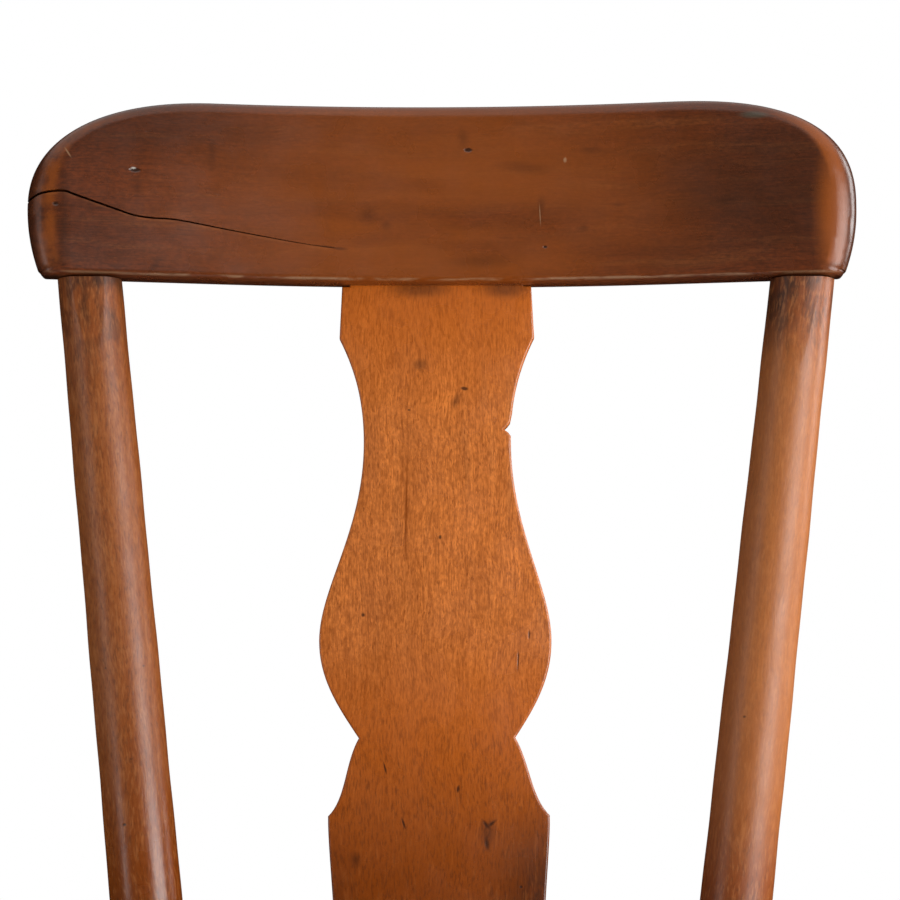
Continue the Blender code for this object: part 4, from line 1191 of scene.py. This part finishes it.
def post_shellac(settings, side, word):
    """Beech under orange-brown shellac: grime and painted shade under the crest, pale in the middle, glossy
    near the seat.
    """
    colours, grime_and_shade, foot = settings.colours, settings.colours.grime_and_shade, settings.colours.dark_tone_and_shade
    finish = beech(f"beech_{word}_post_shellac", colours.post, "Z", settings, 0.34)
    top = settings.back.height * MM
    surface = Vector((0, -settings.post.foot_radius * MM, 0))
    start, end = post_ends(settings, side)
    into_post = (end - start).to_track_quat("Z", "Y").to_matrix().inverted()

    def on_post(angle, level, radii, core):
        away = into_post @ Matrix.Rotation(math.radians(angle), 3, "Z") @ surface
        return finish.spot(away + Vector((0, 0, level)), radii, core=core)

    # Painted shade darkens the post's top under the crest, then the crest's painted shadows and the drips are
    # laid on.
    finish.stain(foot, finish.along(2, top - 110, top - 2), 0.45)
    shadows = [on_post(angle, level, radii, 0.25) for angle, level, radii in POST_SHADOWS[side]]
    shadows += [on_post(angle, level, DRIP_RADII, 0.2) for angle, level in POST_DRIPS[side]]
    finish.stain(grime_and_shade, finish.either(*shadows), 0.7)
    finish.stain(foot, finish.along(2, top - 190, 30), 0.80)
    finish.stain(grime_and_shade, finish.along(2, 40, 0), 0.3)
    # Grime and painted shade in streaks under the crest.
    under_crest = finish.along(2, top - 75, top - 8)
    finish.stain(grime_and_shade, finish.both(under_crest, finish.streaks(5, 14, 0.42, 0.62, 4)), 0.55)
    finish.stain(foot, finish.streaks(7.0, 12.0, 0.46, 0.66, 4.0), 0.40)
    finish.stain(colours.worn, finish.streaks(5.0, 20.0, 0.56, 0.72, 4.0), 0.30)
    finish.stain(grime_and_shade, finish.streaks(1.1, 4.0, 0.48, 0.68, 3.0), 0.30)
    finish.stain(colours.worn, finish.streaks(1.3, 6.0, 0.48, 0.70, 3.0), 0.38)
    if side == RIGHT:
        rubbed = finish.both(finish.along(2, 20, 90), finish.along(2, 335, 290))
        finish.stain(colours.worn, rubbed, 0.38)
    finish.raise_by(finish.streaks(3.0, 9.0, 0.30, 0.70, 3.0), 0.022)
    finish.raise_by(finish.streaks(0.9, 3.0, 0.35, 0.65), 0.010)
    finish.stain(colours.end_grain, finish.along(2, -30, -36))
    nicks = finish.either(*[on_post(angle, level, NICK_RADII, 0.35) for angle, level in POST_NICKS[side]])
    finish.stain(grime_and_shade, nicks, 0.85)
    finish.raise_by(nicks, -0.06)
    return finish.done(0.43, 0.06, polished=finish.along(2, 110, 50) if side == LEFT else None)


def seat_shellac(settings):
    """Beech under brown shellac, rubbed pale where people sat, grimy round the feet of the posts."""
    colours, seat = settings.colours, settings.seat
    finish = beech("beech_seat_shellac", colours.lower, "X", settings, 0.3, waver=0.03)
    level = settings.back.level * MM
    finish.stain(colours.grime_and_shade, finish.streaks(7.0, 190.0, 0.50, 0.66, 3.0), 0.35)
    finish.stain(colours.worn, finish.streaks(3.0, 120.0, 0.55, 0.72), 0.25)
    scuffs = finish.both(finish.streaks(30.0, 34.0, 0.50, 0.66), finish.streaks(2.0, 14.0, 0.42, 0.60))
    finish.stain(colours.worn, scuffs, 0.45)
    middle = ((seat.front + seat.dish_front) + (seat.back - seat.dish_back)) / 2 * MM
    finish.stain(colours.worn, finish.spot((0, middle, level), (150, 120, 30)), 0.45)
    front_edge = finish.both(finish.along(1, -170, -200), finish.along(2, level - 14, level))
    finish.stain(colours.worn, front_edge, 0.3)
    corner = (seat.back_width / 2 - settings.post.left_margin) * MM
    corners = [finish.spot((side * corner, 125, level), (38, 38, 20), core=0.3) for side, _ in SIDES]
    finish.stain(colours.grime_and_shade, finish.either(*corners), 0.45)
    return finish.done(0.56, 0.04, 0.28)


def turned_shellac(settings, name):
    """Beech under brown shellac on turned pieces, worn pale in places and grimy near the floor."""
    colours = settings.colours
    finish = beech(name, colours.lower, "Z", settings, 0.3)
    finish.stain(colours.grime_and_shade, finish.streaks(3.5, 80.0, 0.46, 0.64, 3.0), 0.35)
    finish.stain(colours.worn, finish.streaks(9.0, 30.0, 0.56, 0.70), 0.40)
    finish.stain(colours.grime_and_shade, finish.along(2, 40, 0), 0.4)
    finish.stain(colours.end_grain, finish.along(2, TENON_LEVEL, TENON_LEVEL + 4))
    return finish.done(0.42, 0.07)


def end_grain(settings):
    """End grain of pegs and wedges, soaked dark with shellac: pores 0.5 mm across."""
    finish = Finish("end_grain_in_shellac", settings.colours.end_grain)
    metres = finish.add("TexCoord").outputs["Object"]
    finish.place = finish.add("Mapping", {"Vector": metres, "Scale": (MM, MM, MM)}).outputs[0]
    pores = finish.streaks(0.5, 0.5, 0.52, 0.66)
    finish.stain(settings.colours.grime_and_shade, pores, 0.55)
    finish.raise_by(pores, -0.03)
    return finish.done(0.5, 0.06)


def pale_floor():
    """Matt white seamless paper: it takes the chair's shadow nearby and fades to the white background."""
    material = bpy.data.materials.new("white_seamless_paper")
    nodes = Nodes(material)
    matt = {"Base Color": (*hex_colour("#e7e7e6"), 1.0), "Roughness": 0.9, "Specular IOR Level": 0.1}
    paper = nodes.join(nodes.tree.nodes["Principled BSDF"], matt)
    place = nodes.add("TexCoord").outputs["Object"]
    away = nodes.add("VectorMath", {0: place}, operation="LENGTH").outputs["Value"]
    span = {"Value": away, "From Min": FADE_START, "From Max": FADE_END}
    fade = nodes.add("MapRange", span, interpolation_type="SMOOTHSTEP").outputs[0]
    rays = nodes.add("LightPath").outputs
    shown = {0: rays["Is Camera Ray"], 1: rays["Is Glossy Ray"]}
    seen = nodes.add("Math", shown, operation="MAXIMUM").outputs[0]
    share = nodes.add("Math", {0: fade, 1: seen}, operation="MULTIPLY").outputs[0]
    white = nodes.add("Emission")
    mix = nodes.add("MixShader", {0: share, 1: paper.outputs[0], 2: white.outputs[0]})
    nodes.join(nodes.tree.nodes["Material Output"], {"Surface": mix.outputs[0]})
    return material


def black_velvet():
    """Black velvet: it swallows reflections, as a photographer's flags do, and only reflections see it."""
    material = bpy.data.materials.new("black_velvet")
    nodes = Nodes(material)
    pile = {"Base Color": (*hex_colour("#0d0d0d"), 1.0), "Roughness": 1.0, "Specular IOR Level": 0.0}
    nodes.join(nodes.tree.nodes["Principled BSDF"], pile)
    return material


def light_room(stage):
    """Even light from all round, plain white where it is seen, reflected or looked through."""
    world = bpy.data.worlds.new("studio_room")
    bpy.context.scene.world = world
    nodes = Nodes(world)
    rays = nodes.add("LightPath").outputs
    shown = {0: rays["Is Camera Ray"], 1: rays["Is Glossy Ray"]}
    seen = nodes.add("Math", shown, operation="MAXIMUM").outputs[0]
    through = {0: seen, 1: rays["Is Transmission Ray"]}
    white = nodes.add("Math", through, operation="MAXIMUM").outputs[0]
    strength = nodes.add("MapRange", {"Value": white, "To Min": stage.room, "To Max": 1.0}).outputs[0]
    nodes.join(nodes.tree.nodes["Background"], {"Color": (1.0, 1.0, 1.0, 1.0), "Strength": strength})


def soft_box(name, watts, place, extent):
    """A rectangular lamp that faces the chair's back."""
    lamp = bpy.data.lights.new(name, "AREA")
    lamp.shape = "RECTANGLE"
    lamp.size, lamp.size_y = extent
    lamp.energy = watts
    obj = bpy.data.objects.new(name, lamp)
    obj.location = place
    obj.rotation_euler = (Vector(LAMP_AIM) - Vector(place)).to_track_quat("-Z", "Y").to_euler()
    obj.visible_camera = False
    bpy.context.scene.collection.objects.link(obj)


def hang_drape(stage):
    """A black drape on the floor and all round, which only reflections see."""
    start, reach, height = stage.drape_start, stage.drape_radius, stage.drape_height
    drape = loose_object(lathe([(start, FIT), (reach, FIT), (reach, height)], stage.sides), "black_drape")
    drape.data.materials.append(black_velvet())
    drape.visible_camera = False
    drape.visible_diffuse = False
    drape.visible_shadow = False


def make_stage(settings):
    """A wide pale floor, soft boxes on both sides, light all round, and the camera at the photo's view."""
    stage = settings.stage
    floor_shape = bmesh.new()
    bmesh.ops.create_circle(floor_shape, cap_ends=True, segments=stage.sides, radius=stage.floor_radius)
    floor = loose_object(floor_shape, "studio_floor")
    floor.data.materials.append(pale_floor())
    light_room(stage)
    hang_drape(stage)
    for name, (place, extent) in LAMPS.items():
        soft_box(f"{name}_light", getattr(stage, f"{name}_watts"), place, extent)

    lens = bpy.data.cameras.new("camera")
    lens.lens = stage.lens
    lens.sensor_width = stage.sensor
    lens.clip_end = CAMERA_RANGE
    camera = bpy.data.objects.new("camera", lens)
    camera.location = stage.eye
    camera.rotation_euler = (math.pi / 2, 0, 0)
    bpy.context.scene.collection.objects.link(camera)
    bpy.context.scene.camera = camera
    bpy.context.scene.view_settings.view_transform = "Standard"


class CHAIR_OT_stage(bpy.types.Operator):
    """Sets up the pale floor, the soft light and the camera"""

    bl_idname = "chair.stage"
    bl_label = "Stage"

    def execute(self, context):
        make_stage(context.scene.side_chair)
        return {"FINISHED"}


class CHAIR_OT_crest(bpy.types.Operator):
    """Models the bent crest rail, split at its left end"""

    bl_idname = "chair.crest"
    bl_label = "Crest Rail"

    def execute(self, context):
        make_crest(context.scene.side_chair)
        return {"FINISHED"}


class CHAIR_OT_splat(bpy.types.Operator):
    """Models the vase-shaped splat, chipped at its neck"""

    bl_idname = "chair.splat"
    bl_label = "Splat"

    def execute(self, context):
        make_splat(context.scene.side_chair)
        return {"FINISHED"}


class CHAIR_OT_posts(bpy.types.Operator):
    """Models the two tapering posts"""

    bl_idname = "chair.posts"
    bl_label = "Posts"

    def execute(self, context):
        for side, word in SIDES:
            make_post(context.scene.side_chair, side, word)
        return {"FINISHED"}


class CHAIR_OT_seat(bpy.types.Operator):
    """Models the dished plank seat"""

    bl_idname = "chair.seat"
    bl_label = "Seat"

    def execute(self, context):
        make_seat(context.scene.side_chair)
        return {"FINISHED"}


class CHAIR_OT_legs(bpy.types.Operator):
    """Models the four turned legs"""

    bl_idname = "chair.legs"
    bl_label = "Legs"

    def execute(self, context):
        settings = context.scene.side_chair
        material = turned_shellac(settings, "beech_leg_shellac")
        for side, word in SIDES:
            make_leg(settings, side, True, f"leg_front_{word}", material)
            make_leg(settings, side, False, f"leg_back_{word}", material)
        return {"FINISHED"}


class CHAIR_OT_stretchers(bpy.types.Operator):
    """Models the four turned stretchers"""

    bl_idname = "chair.stretchers"
    bl_label = "Stretchers"

    def execute(self, context):
        settings = context.scene.side_chair
        leg = settings.leg
        material = turned_shellac(settings, "beech_stretcher_shellac")
        front = [leg_ends(settings, side, True) for side, _ in SIDES]
        back = [leg_ends(settings, side, False) for side, _ in SIDES]
        make_stretcher(settings, "stretcher_front", leg.front_level, *front, material)
        make_stretcher(settings, "stretcher_back", leg.back_level, *back, material)
        for (_, word), *legs in zip(SIDES, front, back):
            make_stretcher(settings, f"stretcher_{word}", leg.side_level, *legs, material)
        return {"FINISHED"}


class CHAIR_OT_pegs(bpy.types.Operator):
    """Gives the pegs and wedges their end grain"""

    bl_idname = "chair.pegs"
    bl_label = "Pegs and Wedges"

    def execute(self, context):
        material = end_grain(context.scene.side_chair)
        for name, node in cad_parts.items():
            if "peg" in name or "wedge" in name:
                node.data.materials.clear()
                node.data.materials.append(material)
        return {"FINISHED"}


class CHAIR_PT_panel(bpy.types.Panel):
    """Lists the chair's sizes, colours and pieces"""

    bl_idname = "CHAIR_PT_panel"
    bl_label = "Old Side Chair"
    bl_space_type = "VIEW_3D"
    bl_region_type = "UI"
    bl_category = "Chair"

    def draw(self, context):
        settings = context.scene.side_chair
        for group in ("back", "crest", "post", "splat", "seat", "leg", "colours", "stage"):
            part = self.layout.box()
            part.label(text=group.capitalize())
            values = getattr(settings, group)
            for key in values.bl_rna.properties.keys():
                if key not in ("rna_type", "name"):
                    part.prop(values, key)
        for operator in OPERATORS:
            self.layout.operator(operator.bl_idname)


GROUPS = (
    BackSizes,
    CrestSizes,
    PostSizes,
    SplatSizes,
    SeatSizes,
    LegSizes,
    Colours,
    StageSettings,
    ChairSettings,
)
OPERATORS = (
    CHAIR_OT_stage,
    CHAIR_OT_crest,
    CHAIR_OT_splat,
    CHAIR_OT_posts,
    CHAIR_OT_seat,
    CHAIR_OT_legs,
    CHAIR_OT_stretchers,
    CHAIR_OT_pegs,
)
CLASSES = (*GROUPS, *OPERATORS, CHAIR_PT_panel)


def register():
    """Registers the classes and hangs the settings on the scene."""
    for each in CLASSES:
        bpy.utils.register_class(each)
    bpy.types.Scene.side_chair = PointerProperty(
        type=ChairSettings, name="Side chair", description="The chair's sizes and colours"
    )


def unregister():
    """Takes the settings and classes away."""
    del bpy.types.Scene.side_chair
    for each in reversed(CLASSES):
        bpy.utils.unregister_class(each)


def main():
    """Makes the stage and every piece."""
    register()
    bpy.ops.chair.stage()
    bpy.ops.chair.crest()
    bpy.ops.chair.splat()
    bpy.ops.chair.posts()
    bpy.ops.chair.seat()
    bpy.ops.chair.legs()
    bpy.ops.chair.stretchers()
    bpy.ops.chair.pegs()


if __name__ == "__main__":
    main()
